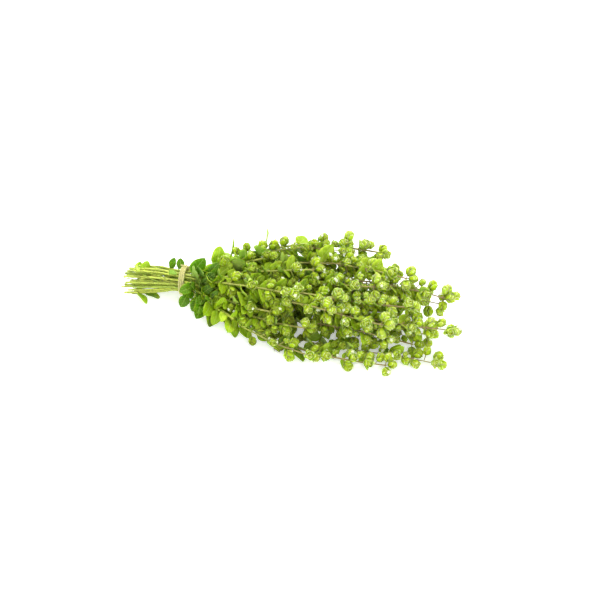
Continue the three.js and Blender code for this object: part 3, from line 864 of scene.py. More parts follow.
def add_heads(growth, heads, pairs, sizes, rng):
    """Flower heads: an egg-shaped core under pairs of bracts, each pair square to the one below it.
    A bract is a rounded spoon that follows the egg up from where it grows, lies over it like a roof
    tile, bends round it across, and stands off it at its tip."""
    if not heads:
        return
    root, base, along, u, w, size, roll = head_arrays(heads)
    tone, = arrays(heads, "tone")
    length, radius = HEAD_LENGTH * size, HEAD_RADIUS * size * sizes.head_width
    add_stalks(growth, root, base + along * (HEAD_STALK_IN * length)[:, None], HEAD_STALK, tone)
    wide, high = egg(math.pi * (1 - CORE_RINGS.along))
    core = (base[:, None] + (CORE_LENGTH * high * length[:, None])[..., None] * along[:, None]
            + (CORE_WIDTH * wide * radius[:, None])[..., None]
            * turned(CORE_RINGS.angle, u[:, None], w[:, None]))
    growth.add(CORE_RINGS, core, CORE, tone=tone[:, None])
    # The bracts. Arrays have the axes of the heads, then their bracts, then a bract's points.
    pair = np.repeat(np.arange(pairs), 2)
    jitter = rng.uniform(-1, 1, (5, len(heads), len(pair)))
    azimuth = (roll[:, None] + pair % 2 * math.pi / 2 + np.tile([0, math.pi], pairs)
               + TURN_VARIES * jitter[0])
    start = LOWEST_BRACT - BRACT_SPAN * pair / (pairs - 1) + START_VARIES * jitter[1]
    reach = np.minimum(BRACT_REACH * (1 + REACH_VARIES * jitter[2]), start - 0.02)
    flare = (rng.uniform(*FLARE, (len(heads), 1)) * sizes.bract_flare
             * (1 - FLARE_LOSS * pair / pairs) * (1 + FLARE_VARIES * jitter[3]))[..., None]
    base, along, u, w = (way[:, None, None] for way in (base, along, u, w))
    length, radius, size = (value[:, None, None] for value in (length, radius, size))
    t, s, over = BRACT_RINGS.along, BRACT_RINGS.across, BRACT_RINGS.over
    wide, high = egg(start[..., None] - reach[..., None] * t)
    half = (BRACT_HALF[0] + BRACT_HALF[1] * np.sin(start))[..., None] * spoon(t, BRACT_POWERS)
    half = np.minimum(half, BRACT_MOST * wide) * radius * s
    lift = TIP_LIFT * t ** 2 - FOOT_SINK * (1 - t) ** 2 + flare * t ** 3
    bend = BRACT_BEND * half ** 2 / (np.maximum(wide, LEAST_ROUND) * radius)
    wave = BRACT_WAVE * s ** 2 * np.sin(BRACT_WAVES * t + 3 * jitter[4][..., None] + s)
    out = wide * radius + lift * size + 0.5 * sizes.bract_thickness * over - bend + wave
    high = high * length + 0.2 * flare * t
    outward, aside = (turned(azimuth + quarter * math.pi / 2, u[:, 0], w[:, 0])[..., None, :]
                      for quarter in (0, 1))
    # Rings run up the bract with its right side first, seen from outside.
    points = base + along * high[..., None] + outward * out[..., None] - aside * half[..., None]
    own = rng.uniform(-BRACT_TONE_VARIES, BRACT_TONE_VARIES, azimuth.shape)
    bract_tone = np.clip(tone[:, None] + own, 0, 1)
    growth.add(BRACT_RINGS, points, BRACT, tone=bract_tone[..., None], side=0.5 - 0.5 * over,
               uv=(0.5 + 0.5 * s, t))
    hairs = int(sizes.rim_hairs * len(heads))
    add_fringe(growth, points.reshape(-1, BRACT_RINGS.count, 3), hairs, rng)
    add_florets(growth, heads, sizes, rng)


def add_fringe(growth, bracts, hairs, rng):
    """Hairs on the rims of bracts: each starts between two neighbouring points of a rim, and points
    away from the bract's middle line and to its tip."""
    bract = rng.integers(0, len(bracts), hairs)
    ring = 1 + BRACT_SIDES * rng.integers(*FRINGE_RINGS, hairs)
    right = BRACT_RIM * rng.integers(0, 2, hairs)
    share = rng.uniform(0, 1, (hairs, 1))
    here, above = bracts[bract, ring + right], bracts[bract, ring + right + BRACT_SIDES]
    other = bracts[bract, ring + BRACT_RIM - right]
    own = rng.uniform(*FRINGE_VARIES, (hairs, 3))
    way = unit(unit(here - other) + FRINGE_UP * unit(above - here) + own)
    start = here * (1 - share) + above * share - FRINGE_IN * way
    add_needles(growth, start, way, rng.uniform(*FRINGE_LENGTH, (hairs, 1)), rng)


def add_florets(growth, heads, sizes, rng):
    """Small white flowers that stand out between the bracts: five petals round a short tube, each a
    rounded blade that bends back by the square of its way out."""
    many = np.minimum(rng.poisson(sizes.florets, len(heads)), FLORETS_MOST)
    which = np.repeat(np.arange(len(heads)), many)
    if not len(which):
        return
    _, base, along, u, w, size, _ = (values[which] for values in head_arrays(heads))
    azimuth = rng.uniform(0, TURN, len(which))
    polar = rng.uniform(*FLORET_POLAR, len(which))
    wide, high = egg(polar)
    outward = turned(azimuth, u, w)
    way = unit(turned(polar, along, outward))
    start = (base + along * (high * HEAD_LENGTH * size)[:, None]
             + outward * (wide * HEAD_RADIUS * size)[:, None])
    mouth = start + way * rng.uniform(*FLORET_OUT, len(which))[:, None]
    tube = TUBE_NARROW + (TUBE_BROAD - TUBE_NARROW) * STALK_RINGS.along
    add_tubes(growth, start - way * TUBE_IN, mouth, tube, PETAL)
    a = unit(np.cross(way, FLORET_UP))
    turn = rng.uniform(*ANY_TURN, (len(which), 1)) + np.arange(PETALS) * TURN / PETALS
    radial = turned(turn, a[:, None], np.cross(way, a)[:, None])
    across = np.cross(way[:, None], radial)
    t = PETAL_RINGS.along
    long = rng.uniform(*PETAL_LENGTH, (len(which), 1, 1))
    half = PETAL_WIDTH * long * spoon(t, PETAL_POWERS) * PETAL_RINGS.across
    rise = PETAL_RISE * t - PETAL_FALL * t ** 2 + PETAL_THICK * PETAL_RINGS.over
    points = (mouth[:, None, None] + radial[..., None, :] * (long * t)[..., None]
              + across[..., None, :] * half[..., None] + way[:, None, None] * rise[:, None])
    tone = rng.uniform(0, 1, (len(which), PETALS))[..., None]
    growth.add(PETAL_RINGS, points, PETAL, tone=tone)


# What fills the bunch between the heads and leaves that the solids have.

FILL_STEP = 4.5
FILL_TRIES = 4
FILL_SHIFT, FILL_LEAN = (-2, 2), (0.7, 1.15)
FILL_STALK, FILL_SIZE, FILL_LEAF = (1.4, 6.5), (0.55, 1.0), (7, 13)
NEAR = 26.0  # solid heads nearer than this count as neighbours
FEWEST_NEIGHBOURS = 5
MOST_LOPSIDED = 0.5  # the length of the mean direction to them: 0 in their middle, 1 outside them
HEAD_ROOM, LEAF_ROOM, BLADE_ROOM = 5.2, 2.8, 1.8
LEAF_SPOTS = (0.35, 0.6, 0.85)  # shares of a leaf's length, where its distances are taken
HEADS_FROM, HEADS_TO = 36, 118  # heads become more frequent along the bunch
LOWEST_HEAD, LOWEST_BLADE = 3.4, 1.5
TIP_CLEAR = 14  # nothing is added this near to a sprig's tip
AXIL_LENGTH = (3.6, 6.4)  # of the small leaf under each pair of heads' stalks
AXIL_LEAN, AXIL_BELOW = 1.25, 0.8
# A tone is painted shade and light: a head or leaf is painted darker deep among its neighbours and
# below them, and lighter where it stands free, above them and towards the tips, where heads are
# younger and paler as well.
CROWD = 17  # neighbours that make the deepest shade, where they are all round
OUTER_TONE, DEEP_TONE = 0.74, 0.8  # of what stands free, and what the deepest shade takes from that
TIP_TONE = 0.12  # what is added to it towards the tips, where the shade takes less as well
TIP_TONE_FROM, TIP_TONE_TO = 70, 150
TIP_SHADE = 0.6
TONE_DEPTH = 34.0  # millimetres above its neighbours that make a thing lighter by 1
TONE_VARIES = 0.22

# More that stands out of the bunch. Each has its sprig's number, its run, the way round the stem
# from its side, the lean away from it and the length of its stalk. A head has its size as well, and
# a leaf its length and its half width as a share of that.
OUTER_HEADS = (
    (2, 110, 0.8, 1.47, 4.8, 1.1), (1, 50, 0.8, 0.95, 2.7, 1.1), (1, 55, 0.74, 0.56, 3.3, 1.1),
    (2, 34, 0.8, 1.4, 3.2, 0.9), (2, 40, 0.8, 1.3, 3.8, 0.9), (4, 187, 0.27, 0.46, 6.0, 1.0),
    (8, 184, 0.8, 1.47, 4.6, 0.9), (8, 167, 2.93, 0.7, 3.0, 0.9), (4, 177, 0.75, 1.39, 3.1, 1.05),
    (24, 178, -2.31, 1.49, 3.1, 1.1), (6, 187, 0.67, 0.82, 2.8, 1.0),
    (9, 152, 0.71, 0.94, 2.8, 0.95), (2, 123, 0.6, 0.83, 3.0, 0.9), (1, 83, 0.55, 0.71, 2.8, 0.9),
)
OUTER_LEAVES = (
    (30, -30, 0.77, 1.1, 0, 10, 0.36), (8, -28, -2.0, 0.25, 0, 13, 0.34),
    (9, 11, -2.16, 1.07, 0, 10, 0.36), (22, 27, -2.0, 1.05, 0, 18, 0.36),
    (10, 51, -1.4, 0.58, 0, 12.4, 0.34), (6, 171, -2.1, 0.74, 0, 12.2, 0.28),
    (9, 118, -0.44, 0.95, 0, 10.5, 0.3), (1, -6, 0.8, 1.47, 0, 9, 0.34),
    (2, 28, 0.85, 0.95, 2, 17, 0.07), (21, 7, 3.13, 1.16, 0, 9.5, 0.37),
    (21, 13, -1.88, 0.5, 0.5, 10, 0.37), (21, 8, -2.54, 1.46, 5, 10.5, 0.37),
    (21, 19, -2.6, 1.49, 3.8, 10.5, 0.36), (20, 15, 0.61, 0.71, 1, 9.5, 0.36),
    (20, 15, 0.63, 0.99, 5.5, 9.5, 0.37), (20, 14, 0.07, 0.3, 0, 8.5, 0.37),
    (3, -38, 0.7, 0.88, 0, 8, 0.34), (1, -12, 0.76, 1.32, 0, 8.6, 0.34),
    (9, 116, 0.49, 0.57, 0, 12, 0.3), (20, 13, 2.9, 1.8, 4, 10.5, 0.37),
)


def head_middle(head):
    """The middle of a head."""
    return head["root"] + head["along"] * (head["stalk"] + HEAD_MIDDLE * HEAD_LENGTH * head["size"])


def leaf_spots(leaf):
    """Points along a leaf's middle line."""
    share = np.array(LEAF_SPOTS)[:, None]
    return (leaf["root"] + leaf["along"] * leaf["length"] * share
            - leaf["face"] * LEAF_ARCH * leaf["length"] * share ** 2)


def apart(spots, others):
    """The least distance between any of the spots and any of the others."""
    return np.linalg.norm(np.asarray(others)[None] - np.atleast_2d(spots)[:, None], axis=-1).min()


def ways_to(neighbours, spot):
    """The directions to the neighbours that are near, the length of the mean of them, and how much
    higher they are on average. What is at the spot itself is none of them."""
    away = neighbours - spot
    far = np.linalg.norm(away, axis=1)
    near = (far < NEAR) & (far > 1)
    if not near.any():
        return away[near], 0, 0
    ways = away[near] / far[near, None]
    return ways, np.linalg.norm(ways.mean(0)), away[near, 2].mean()


def is_inside(spot, neighbours):
    """Whether a spot has enough neighbours, and has them on all sides, so that the outline stays as
    it is."""
    ways, lopsided, _ = ways_to(neighbours, spot)
    return len(ways) >= FEWEST_NEIGHBOURS and lopsided < MOST_LOPSIDED


def stand_out(bunch):
    """The heads and leaves that are listed one by one."""
    for number, run, way, lean, stalk, size in OUTER_HEADS:
        sprig = bunch[number - 1]
        sprig.more_heads.append(head_piece(sprig.frame(run), way, lean, stalk, size, way, run))
    for number, run, way, lean, stalk, length, shape in OUTER_LEAVES:
        sprig = bunch[number - 1]
        leaf = leaf_piece(sprig.frame(run), way, lean, length, run, stalk, shape)
        sprig.more_leaves.append(leaf)


def add_axils(bunch, rng):
    """A small leaf under the stalk of each side head, pointing further out from the stem than that
    does."""
    for sprig in bunch:
        for head in sprig.heads:
            if head["run"] > sprig.reach - TIP_ROOT - 1:
                continue
            axes = sprig.frame(head["run"] - AXIL_BELOW)
            roll = math.atan2(head["along"] @ axes[3], head["along"] @ axes[2])
            leaf = leaf_piece(axes, roll, AXIL_LEAN, rng.uniform(*AXIL_LENGTH), head["run"])
            if leaf_spots(leaf)[-1][2] > LOWEST_BLADE:
                sprig.more_leaves.append(leaf)


def set_tones(bunch, neighbours, rng):
    """Gives each head and leaf a tone of painted shade and light: darker the more heads and leaves
    are round it and the more evenly they are spread round it, and the further it is below them;
    lighter towards the tips, where heads are younger as well; and varied at random."""
    for sprig in bunch:
        for piece in sprig.heads + sprig.more_heads + sprig.leaves + sprig.more_leaves:
            spot = head_middle(piece) if "size" in piece else leaf_spots(piece)[1]
            ways, lopsided, above = ways_to(neighbours, spot)
            deep = min(1, len(ways) / CROWD) * (1 - lopsided)
            young_lit = smooth(TIP_TONE_FROM, TIP_TONE_TO, piece["run"])
            tone = (OUTER_TONE + TIP_TONE * young_lit - DEEP_TONE * (1 - TIP_SHADE * young_lit) * deep
                    - above / TONE_DEPTH)
            piece["tone"] = min(1, max(0, tone + rng.uniform(-TONE_VARIES, TONE_VARIES)))


def fill_bunch(bunch, sizes):
    """More heads and small leaves between the solid ones, each on a stem, inside the bunch and with
    room round it."""
    rng = np.random.default_rng(SEED)
    middles = [head_middle(head) for sprig in bunch for head in sprig.heads]
    spots = [spot for sprig in bunch for leaf in sprig.leaves for spot in leaf_spots(leaf)]
    neighbours = np.array(middles + spots[::3])
    stand_out(bunch)
    for sprig in bunch:
        for run in np.arange(FIRST_LEAF_RUN, sprig.reach - TIP_CLEAR, FILL_STEP).repeat(FILL_TRIES):
            axes = sprig.frame(run + rng.uniform(*FILL_SHIFT))
            roll, angle = rng.uniform(0, TURN), rng.uniform(*FILL_LEAN)
            ranges = FILL_STALK, FILL_SIZE, (0, math.pi), FILL_LEAF
            stalk, size, head_roll, length = (rng.uniform(*between) for between in ranges)
            head = head_piece(axes, roll, angle, stalk, size, head_roll, run)
            leaf = leaf_piece(axes, roll, angle, length, run)
            chosen, wanted = rng.uniform(size=2)
            if wanted > sizes.fill:
                continue
            centre, blade = head_middle(head), leaf_spots(leaf)
            if (chosen < smooth(HEADS_FROM, HEADS_TO, run) and not sprig.leafy
                    and centre[2] > LOWEST_HEAD and is_inside(centre, neighbours)
                    and apart(centre, middles) > HEAD_ROOM and apart(centre, spots) > LEAF_ROOM):
                sprig.more_heads.append(head)
                middles.append(centre)
            elif (blade[:, 2].min() > LOWEST_BLADE and is_inside(blade[-1], neighbours)
                    and apart(blade, middles) > LEAF_ROOM and apart(blade, spots) > BLADE_ROOM):
                sprig.more_leaves.append(leaf)
                spots.extend(blade)
    add_axils(bunch, rng)
    set_tones(bunch, neighbours, rng)


# Materials.

SOFT_DEPTH = 0.0012  # how far light goes into a leaf, in metres


class Value:
    """What comes out of a node. Sums and products of it make Math nodes."""

    def __init__(self, nodes, socket):
        self.nodes, self.socket = nodes, socket

    def __add__(self, other):
        return self.nodes.math("ADD", self, other)

    def __sub__(self, other):
        return self.nodes.math("SUBTRACT", self, other)

    def __mul__(self, other):
        return self.nodes.math("MULTIPLY", self, other)

    def __abs__(self):
        return self.nodes.math("ABSOLUTE", self)


class Nodes:
    """A material's nodes, made one after another from the shader back."""

    def __init__(self, name):
        self.material = bpy.data.materials.new(name)
        self.material.use_nodes = True
        self.tree = self.material.node_tree
        self.shader = self.tree.nodes["Principled BSDF"].inputs

    def put(self, socket, value):
        """Links a value to a socket, or sets the socket to a number or a colour."""
        if isinstance(value, Value):
            self.tree.links.new(value.socket, socket)
        elif socket.type == "RGBA" and len(value) == 3:
            socket.default_value = (*value, 1)
        else:
            socket.default_value = value

    def node(self, kind, output=0, **inputs):
        """The output of a new node with the given settings and inputs."""
        made = self.tree.nodes.new(kind)
        for name, value in inputs.items():
            if hasattr(made, name):
                setattr(made, name, value)
            else:
                self.put(made.inputs[name.replace("_", " ")], value)
        return Value(self, made.outputs[output])

    def attribute(self, name):
        return self.node("ShaderNodeAttribute", "Fac", attribute_name=name)

    def objects(self):
        return self.node("ShaderNodeTexCoord", "Object")

    def parts(self, vector):
        """The first two numbers of a vector."""
        made = self.tree.nodes.new("ShaderNodeSeparateXYZ")
        self.put(made.inputs[0], vector)
        return Value(self, made.outputs[0]), Value(self, made.outputs[1])

    def uv(self):
        return self.parts(self.node("ShaderNodeUVMap", uv_map="surface"))

    def noise(self, scale, detail=3.0, stretch=None, roughness=0.55, at=None):
        at = at or self.objects()
        if stretch:
            at = self.node("ShaderNodeMapping", Vector=at, Scale=stretch)
        return self.node("ShaderNodeTexNoise", Vector=at, Scale=scale, Detail=detail,
                         Roughness=roughness)

    def math(self, kind, *values):
        made = self.tree.nodes.new("ShaderNodeMath")
        made.operation = kind
        for socket, value in zip(made.inputs, values):
            self.put(socket, value)
        return Value(self, made.outputs[0])

    def ramp(self, value, low, high, to_low=0.0, to_high=1.0):
        """An S curve from one number to another, as a value goes from low to high."""
        return self.node("ShaderNodeMapRange", interpolation_type="SMOOTHSTEP", Value=value,
                         From_Min=low, From_Max=high, To_Min=to_low, To_Max=to_high)

    def mix(self, share, a, b):
        """A colour between two."""
        made = self.tree.nodes.new("ShaderNodeMix")
        made.data_type = "RGBA"
        for place, value in ((0, share), (6, a), (7, b)):
            self.put(made.inputs[place], value)
        return Value(self, made.outputs[2])

    def colours(self, value, stops):
        """A colour between those of the stops, by a value."""
        made = self.tree.nodes.new("ShaderNodeValToRGB")
        elements = made.color_ramp.elements
        while len(elements) < len(stops):
            elements.new(0.5)
        for element, (place, colour) in zip(elements, stops):
            element.position = place
            element.color = (*colour, 1)
        self.put(made.inputs[0], value)
        return Value(self, made.outputs[0])

    def bump(self, height, distance, strength):
        bent = self.node("ShaderNodeBump", Height=height, Strength=strength, Distance=distance)
        self.put(self.shader["Normal"], bent)

    def finish(self, colour, roughness, soft=0.0, radius=(0.6, 1.0, 0.2), shine=0.4, sheen=0.0):
        """Sets the shader: how rough it is, and how much light goes through, shines and glances."""
        for name, value in (("Base Color", colour), ("Roughness", roughness),
                            ("Specular IOR Level", shine), ("Subsurface Weight", soft),
                            ("Subsurface Radius", radius), ("Subsurface Scale", SOFT_DEPTH),
                            ("Sheen Weight", sheen)):
            self.put(self.shader[name], value)


def shade(colour, share):
    """A colour made lighter (share above 1) or darker."""
    return tuple(min(1.0, c * share) for c in colour)


VEIN_GREEN, UNDERSIDE_GREEN = (0.62, 0.78, 0.2), (0.36, 0.5, 0.12)
CUT_FACE, CUT_FACE_GREEN = 0.002, (0.78, 0.82, 0.42)  # its end on a stem's map, and its colour
ENDS = 0.125  # where the bunch ends on either side along X, in metres
GREEN_FROM, GREEN_TO = -0.03, -0.08  # where along X the greenest stems turn green
HAIR_WHITE, HAIR_GREEN = (0.8, 0.85, 0.6), (0.6, 0.72, 0.3)
PETAL_FOOT, PETAL_TINT = (0.72, 0.78, 0.42), (0.85, 0.82, 0.78)
TABLE_GLOW = 0.4


def blade_look(n, colour, young_lit):
    """Green blade: paler rib and side veins by the leaf's own map, paler underneath, mottled, each
    leaf in a tone of its own, which paints it in a darker copy of its colour for shade deep in the
    bunch and in its lit, younger colour for light where it stands free."""
    u, v = n.uv()
    off = abs(u - 0.5)
    wave = n.math("COSINE", (v * VEIN_PAIRS - off * (2 * VEIN_SLANT)) * TURN)
    veins = n.ramp(wave, 0.86, 1.0) * n.ramp(off, 0.5, 0.3)
    lines = n.math("MAXIMUM", veins * 0.55, n.ramp(off, 0.035, 0.008))
    mottle = n.noise(260.0, 4.0)
    # Painted shade and light: a dark copy of the leaf's colour at the lowest tone, and its lit,
    # younger colour at the highest.
    stops = ((0.0, shade(colour, 0.18)), (0.4, shade(colour, 0.78)), (1.0, young_lit))
    green = n.colours(n.attribute("tone"), stops)
    green = n.mix(n.ramp(mottle, 0.35, 0.7), green, shade(colour, 0.82))
    green = n.mix(lines * 0.34, green, VEIN_GREEN)
    under = n.mix(0.5, green, UNDERSIDE_GREEN)
    n.bump(lines * -0.6 + mottle * 0.5, 0.0003, 0.5)
    n.finish(n.mix(n.ramp(n.attribute("side"), 0.5, 0.7), green, under),
             n.ramp(mottle, 0.2, 0.8, 0.34, 0.5), 0.35, shine=0.16)


def leaf_look(n, colours):
    """Bright green leaf."""
    blade_look(n, colours.leaf, colours.young_lit_leaf)


def old_leaf_look(n, colours):
    """Dark green leaf."""
    # A lighter copy of the dark leaf's colour is its painted light where it stands free.
    blade_look(n, colours.old_leaf, shade(colours.old_leaf, 1.6))


def bract_look(n, colours):
    """Bract: green in the middle, in darker and lighter copies by its tone for painted shade and
    light, with painted shade where it grows, pale at its thin rim, which is its own pale margin and
    painted rim light as well, with fine veins up it."""
    u, v = n.uv()
    tone = n.attribute("tone")
    off = abs(u * 2.0 - 1.0)
    rim = n.math("MAXIMUM", off * off, n.ramp(v, 0.5, 1.0))
    veins = n.ramp(n.math("SINE", u * 57.0), 0.2, 1.0) * n.ramp(v, 0.9, 0.6)
    mottle = n.noise(900.0, 4.0)
    # Painted shade and light by the tone: the dark colour of old, dry bracts and painted shade deep
    # in the bunch, darker and lighter copies of the bract, and the lit colour of bracts that stand
    # free.
    green = n.colours(tone, ((0.0, colours.dry_shaded_bract), (0.35, shade(colours.bract, 0.76)),
                             (0.75, shade(colours.bract, 1.08)), (1.0, colours.young_lit_bract)))
    green = n.mix(n.ramp(mottle, 0.4, 0.7, 0.0, 0.45), green, shade(colours.bract, 0.72))
    green = n.mix(veins * 0.12, green, shade(colours.bract_rim, 0.9))
    # Painted shade: darker towards where the bract grows, under the bract below it.
    green = n.mix(n.ramp(v, 0.5, 0.05), green, colours.shaded_bract_base)
    rim = rim + n.ramp(mottle, 0.3, 0.7, -0.12, 0.12)
    # The pale rim is the bract's own pale, hairy margin and painted rim light as well; it is less
    # pale in the painted shade of a low tone.
    pale = n.ramp(rim, 0.6, 1.0, 0.0, 0.85) * n.ramp(tone, 0.1, 0.8, 0.1, 1.0)
    n.bump(veins * 0.5 + mottle, 0.0003, 0.7)
    n.finish(n.mix(pale, green, colours.bract_rim), n.ramp(mottle, 0.2, 0.8, 0.5, 0.68), 0.6,
             shine=0.06)


def stem_look(n, colours):
    """Stem: fresh green at the cut ends, straw and olive along the middle, brown towards the heads,
    with fine streaks along it, paler corners and pale cut faces."""
    x, _ = n.parts(n.objects())
    tone = n.attribute("tone")
    place = n.ramp(x, -ENDS, ENDS) + (tone - 0.5) * 0.22
    stops = ((0.0, colours.cut_stem), (0.16, shade(colours.cut_stem, 0.72)), (0.42, colours.stem),
             (0.72, colours.old_stem), (1.0, colours.tip_stem))
    colour = n.colours(place, stops)
    green = n.ramp(tone, 0.75, 0.15) * n.ramp(x, GREEN_FROM, GREEN_TO)
    colour = n.mix(green * 0.75, colour, colours.green_stem)
    streaks = n.noise(70.0, 5.0, (1.0, 30.0, 30.0), 0.7)
    blotches = n.noise(95.0)
    u, v = n.uv()
    corner = n.ramp(n.math("COSINE", u * (4 * TURN)), 0.3, 1.0)
    colour = n.mix(corner * 0.35, colour, shade(colours.cut_stem, 1.1))
    colour = n.mix(n.ramp(streaks, 0.42, 0.62, 0.0, 0.75), colour, shade(colours.stem, 0.33))
    colour = n.mix(n.ramp(blotches, 0.52, 0.7, 0.0, 0.5), colour, shade(colours.cut_stem, 0.85))
    colour = n.mix(n.ramp(v, CUT_FACE, 0.5 * CUT_FACE), colour, CUT_FACE_GREEN)
    n.bump(streaks + corner * 0.4, 0.0005, 0.8)
    n.finish(colour, n.ramp(blotches, 0.2, 0.8, 0.38, 0.58), 0.2)


def hair_look(n, colours):
    """Hair: nearly white, and greener in places."""
    mottle = n.noise(300.0, 2.0)
    n.finish(n.mix(n.ramp(mottle, 0.35, 0.65), HAIR_WHITE, HAIR_GREEN), 0.5, 0.2, shine=0.3)


def petal_look(n, colours):
    """Petal: thin and white, faintly tinted and mottled, greener where it grows."""
    mottle = n.noise(600.0, 2.0)
    colour = n.mix(n.ramp(n.uv()[1], 0.5, 0.0, 0.0, 0.5), colours.petal, PETAL_FOOT)
    colour = n.mix(n.ramp(mottle, 0.4, 0.75, 0.0, 0.25), colour, PETAL_TINT)
    n.bump(mottle, 0.0001, 0.4)
    n.finish(colour, 0.55, 0.3, (0.8, 0.8, 0.8))


def core_look(n, colours):
    """The inside of a flower head, in painted shade: dark copies of the bract's colour, darker with
    the head's tone.
    """
    mottle = n.noise(500.0)
    green = n.mix(n.attribute("tone"), shade(colours.bract, 0.15), shade(colours.bract, 0.9))
    n.bump(mottle, 0.0004, 0.8)
    n.finish(n.mix(n.ramp(mottle, 0.3, 0.7), green, shade(colours.bract, 0.4)), 0.8, shine=0.03)


def twine_look(n, colours):
    """Twine: straw-coloured fibres that run along each ply, darker between them."""
    u, v = n.uv()
    stretched = n.node("ShaderNodeCombineXYZ", X=u * 9.0, Y=v * 55.0)
    fibres = n.noise(2.4, 4.0, roughness=0.6, at=stretched)
    colour = n.mix(n.ramp(fibres, 0.3, 0.7), shade(colours.twine, 0.68), shade(colours.twine, 1.2))
    colour = n.mix(n.ramp(n.noise(180.0), 0.5, 0.8, 0.0, 0.5), colour, shade(colours.twine, 0.8))
    n.bump(fibres, 0.0005, 0.9)
    n.finish(colour, n.ramp(fibres, 0.2, 0.8, 0.95, 0.75), 0.05, sheen=0.3)


def table_look(n, colours):
    """Smooth white table that glows a little, with the faintest grain."""
    n.put(n.shader["Emission Color"], (1, 1, 1))
    n.put(n.shader["Emission Strength"], TABLE_GLOW)
    n.finish(n.mix(n.noise(9.0, 2.0), colours.floor, shade(colours.floor, 1.02)), 0.6, shine=0.2)


LOOKS = {
    "oregano_stem": stem_look,
    "oregano_leaf": leaf_look,
    "oregano_core": core_look,
    "oregano_bract": bract_look,
    "oregano_petal": petal_look,
    "oregano_hair": hair_look,
    "oregano_old_leaf": old_leaf_look,
    "jute_twine": twine_look,
    "white_table": table_look,
}
MADE = {}


def material(kind, colours):
    """The named material, made when it is first asked for."""
    if kind not in MADE:
        nodes = Nodes(kind)
        LOOKS[kind](nodes, colours)
        MADE[kind] = nodes.material
    return MADE[kind]


# The panel's settings.


def colour_setting(name, description, default):
    """A colour."""
    return bpy.props.FloatVectorProperty(name=name, description=description, default=default,
                                         min=0, max=1, size=3, subtype="COLOR")


def share_setting(name, description, default, least, most):
    """A share of what the solids have."""
    return bpy.props.FloatProperty(name=name, description=description, default=default, min=least,
                                   max=most, subtype="FACTOR")


def number_setting(name, description, default, most, least=0.0):
    """A number, or a length in millimetres."""
    return bpy.props.FloatProperty(name=name, description=description, default=default, min=least,
                                   max=most)


class OREGANO_PG_sizes(bpy.types.PropertyGroup):
    """Sizes that a user would change, in millimetres or as shares of the solids' own."""

    stem_girth: share_setting("Stem girth", "Share of the solid stems' girth", 0.88, 0.5, 1.1)
    leaf_width: share_setting("Leaf width", "Share of the solid leaves' width", 1.08, 0.5, 1.3)
    leaf_thickness: number_setting("Leaf thickness", "Thickness of a blade in mm", 0.34, 1.0, 0.1)
    vein_depth: number_setting("Vein depth", "Depth of the veins in mm", 0.28, 1.0)
    head_width: share_setting("Head width", "Share of the solid heads' width", 1.0, 0.5, 1.3)
    bract_thickness: number_setting("Bract thickness", "Thickness of a bract in mm", 0.22, 0.8, 0.1)
    bract_flare: number_setting("Bract flare", "How far a bract stands off, in mm", 1.1, 2.0)
    florets: number_setting("Florets", "Open flowers on a head, on average", 0.36, 3.0)
    fill: share_setting("Fill", "Share of the free places inside that are filled", 1.0, 0.0, 1.0)
    stem_hairs: number_setting("Stem hairs", "Hairs on each millimetre of a stem", 1.0, 4.0)
    rim_hairs: number_setting("Rim hairs", "Hairs on the rims of a head's bracts", 16.0, 60.0)
    fibres: bpy.props.IntProperty(name="Fibres", description="Loose fibres on the twine",
                                  default=320, min=0, max=1000)


class OREGANO_PG_colours(bpy.types.PropertyGroup):
    """Colours that a user would change."""

    leaf: colour_setting("Leaf", "Full-grown leaves", (0.28, 0.43, 0.004))
    # The colour of the highest tone: leaves that are younger, and painted light on those that stand
    # free and high.
    young_lit_leaf: colour_setting("Young leaf", "The youngest leaves", (0.7, 0.84, 0.08))
    old_leaf: colour_setting("Old leaf", "The dark leaves by the twine", (0.1, 0.22, 0.002))
    bract: colour_setting("Bract", "The middle of a bract", (0.37, 0.54, 0.008))
    # The colour of the highest tone: bracts that are younger, and painted light on those that stand
    # free.
    young_lit_bract: colour_setting("Young bract", "Bracts that stand free", (0.42, 0.585, 0.06))
    # Painted shade where a bract grows, under the bract below it.
    shaded_bract_base: colour_setting("Bract base", "Where a bract grows", (0.28, 0.43, 0.004))
    # The colour of the lowest tone: old, dry bracts, and painted shade deep in the bunch.
    dry_shaded_bract: colour_setting("Dry bract", "Old bracts deep in the bunch", (0.1, 0.11, 0.004))
    # Its own pale margin, and painted rim light as well.
    bract_rim: colour_setting("Bract rim", "The thin edge of a bract", (0.72, 0.83, 0.36))
    petal: colour_setting("Petal", "The small flowers", (0.78, 0.83, 0.56))
    cut_stem: colour_setting("Cut stem", "Stems by the cut ends", (0.7, 0.8, 0.1))
    green_stem: colour_setting("Green stem", "The greenest cut stems", (0.15, 0.3, 0.01))
    stem: colour_setting("Stem", "Stems in the middle of the bunch", (0.44, 0.46, 0.09))
    old_stem: colour_setting("Old stem", "Stems among the heads", (0.42, 0.3, 0.13))
    tip_stem: colour_setting("Stem tip", "Stems by their tips", (0.38, 0.24, 0.13))
    twine: colour_setting("Twine", "The twine", (0.8, 0.75, 0.28))
    floor: colour_setting("Table", "The table", (0.94, 0.95, 0.96))


# The sprigs.

OLD_LEAVES_FROM, OLD_LEAVES_TO = -16, 22
BUNCH = []


def bunch_of(sizes):
    """The bunch's sprigs, found once."""
    if not BUNCH:
        BUNCH.extend(find_bunch())
        fill_bunch(BUNCH, sizes)
    return BUNCH


def is_old(sprig, leaf):
    """Whether a leaf has darkened: one near the twine, below it or on the leafy sprigs at the
    front."""
    return OLD_LEAVES_FROM < leaf["run"] < (OLD_LEAVES_TO if sprig.leafy and sprig.a < 0 else 0)


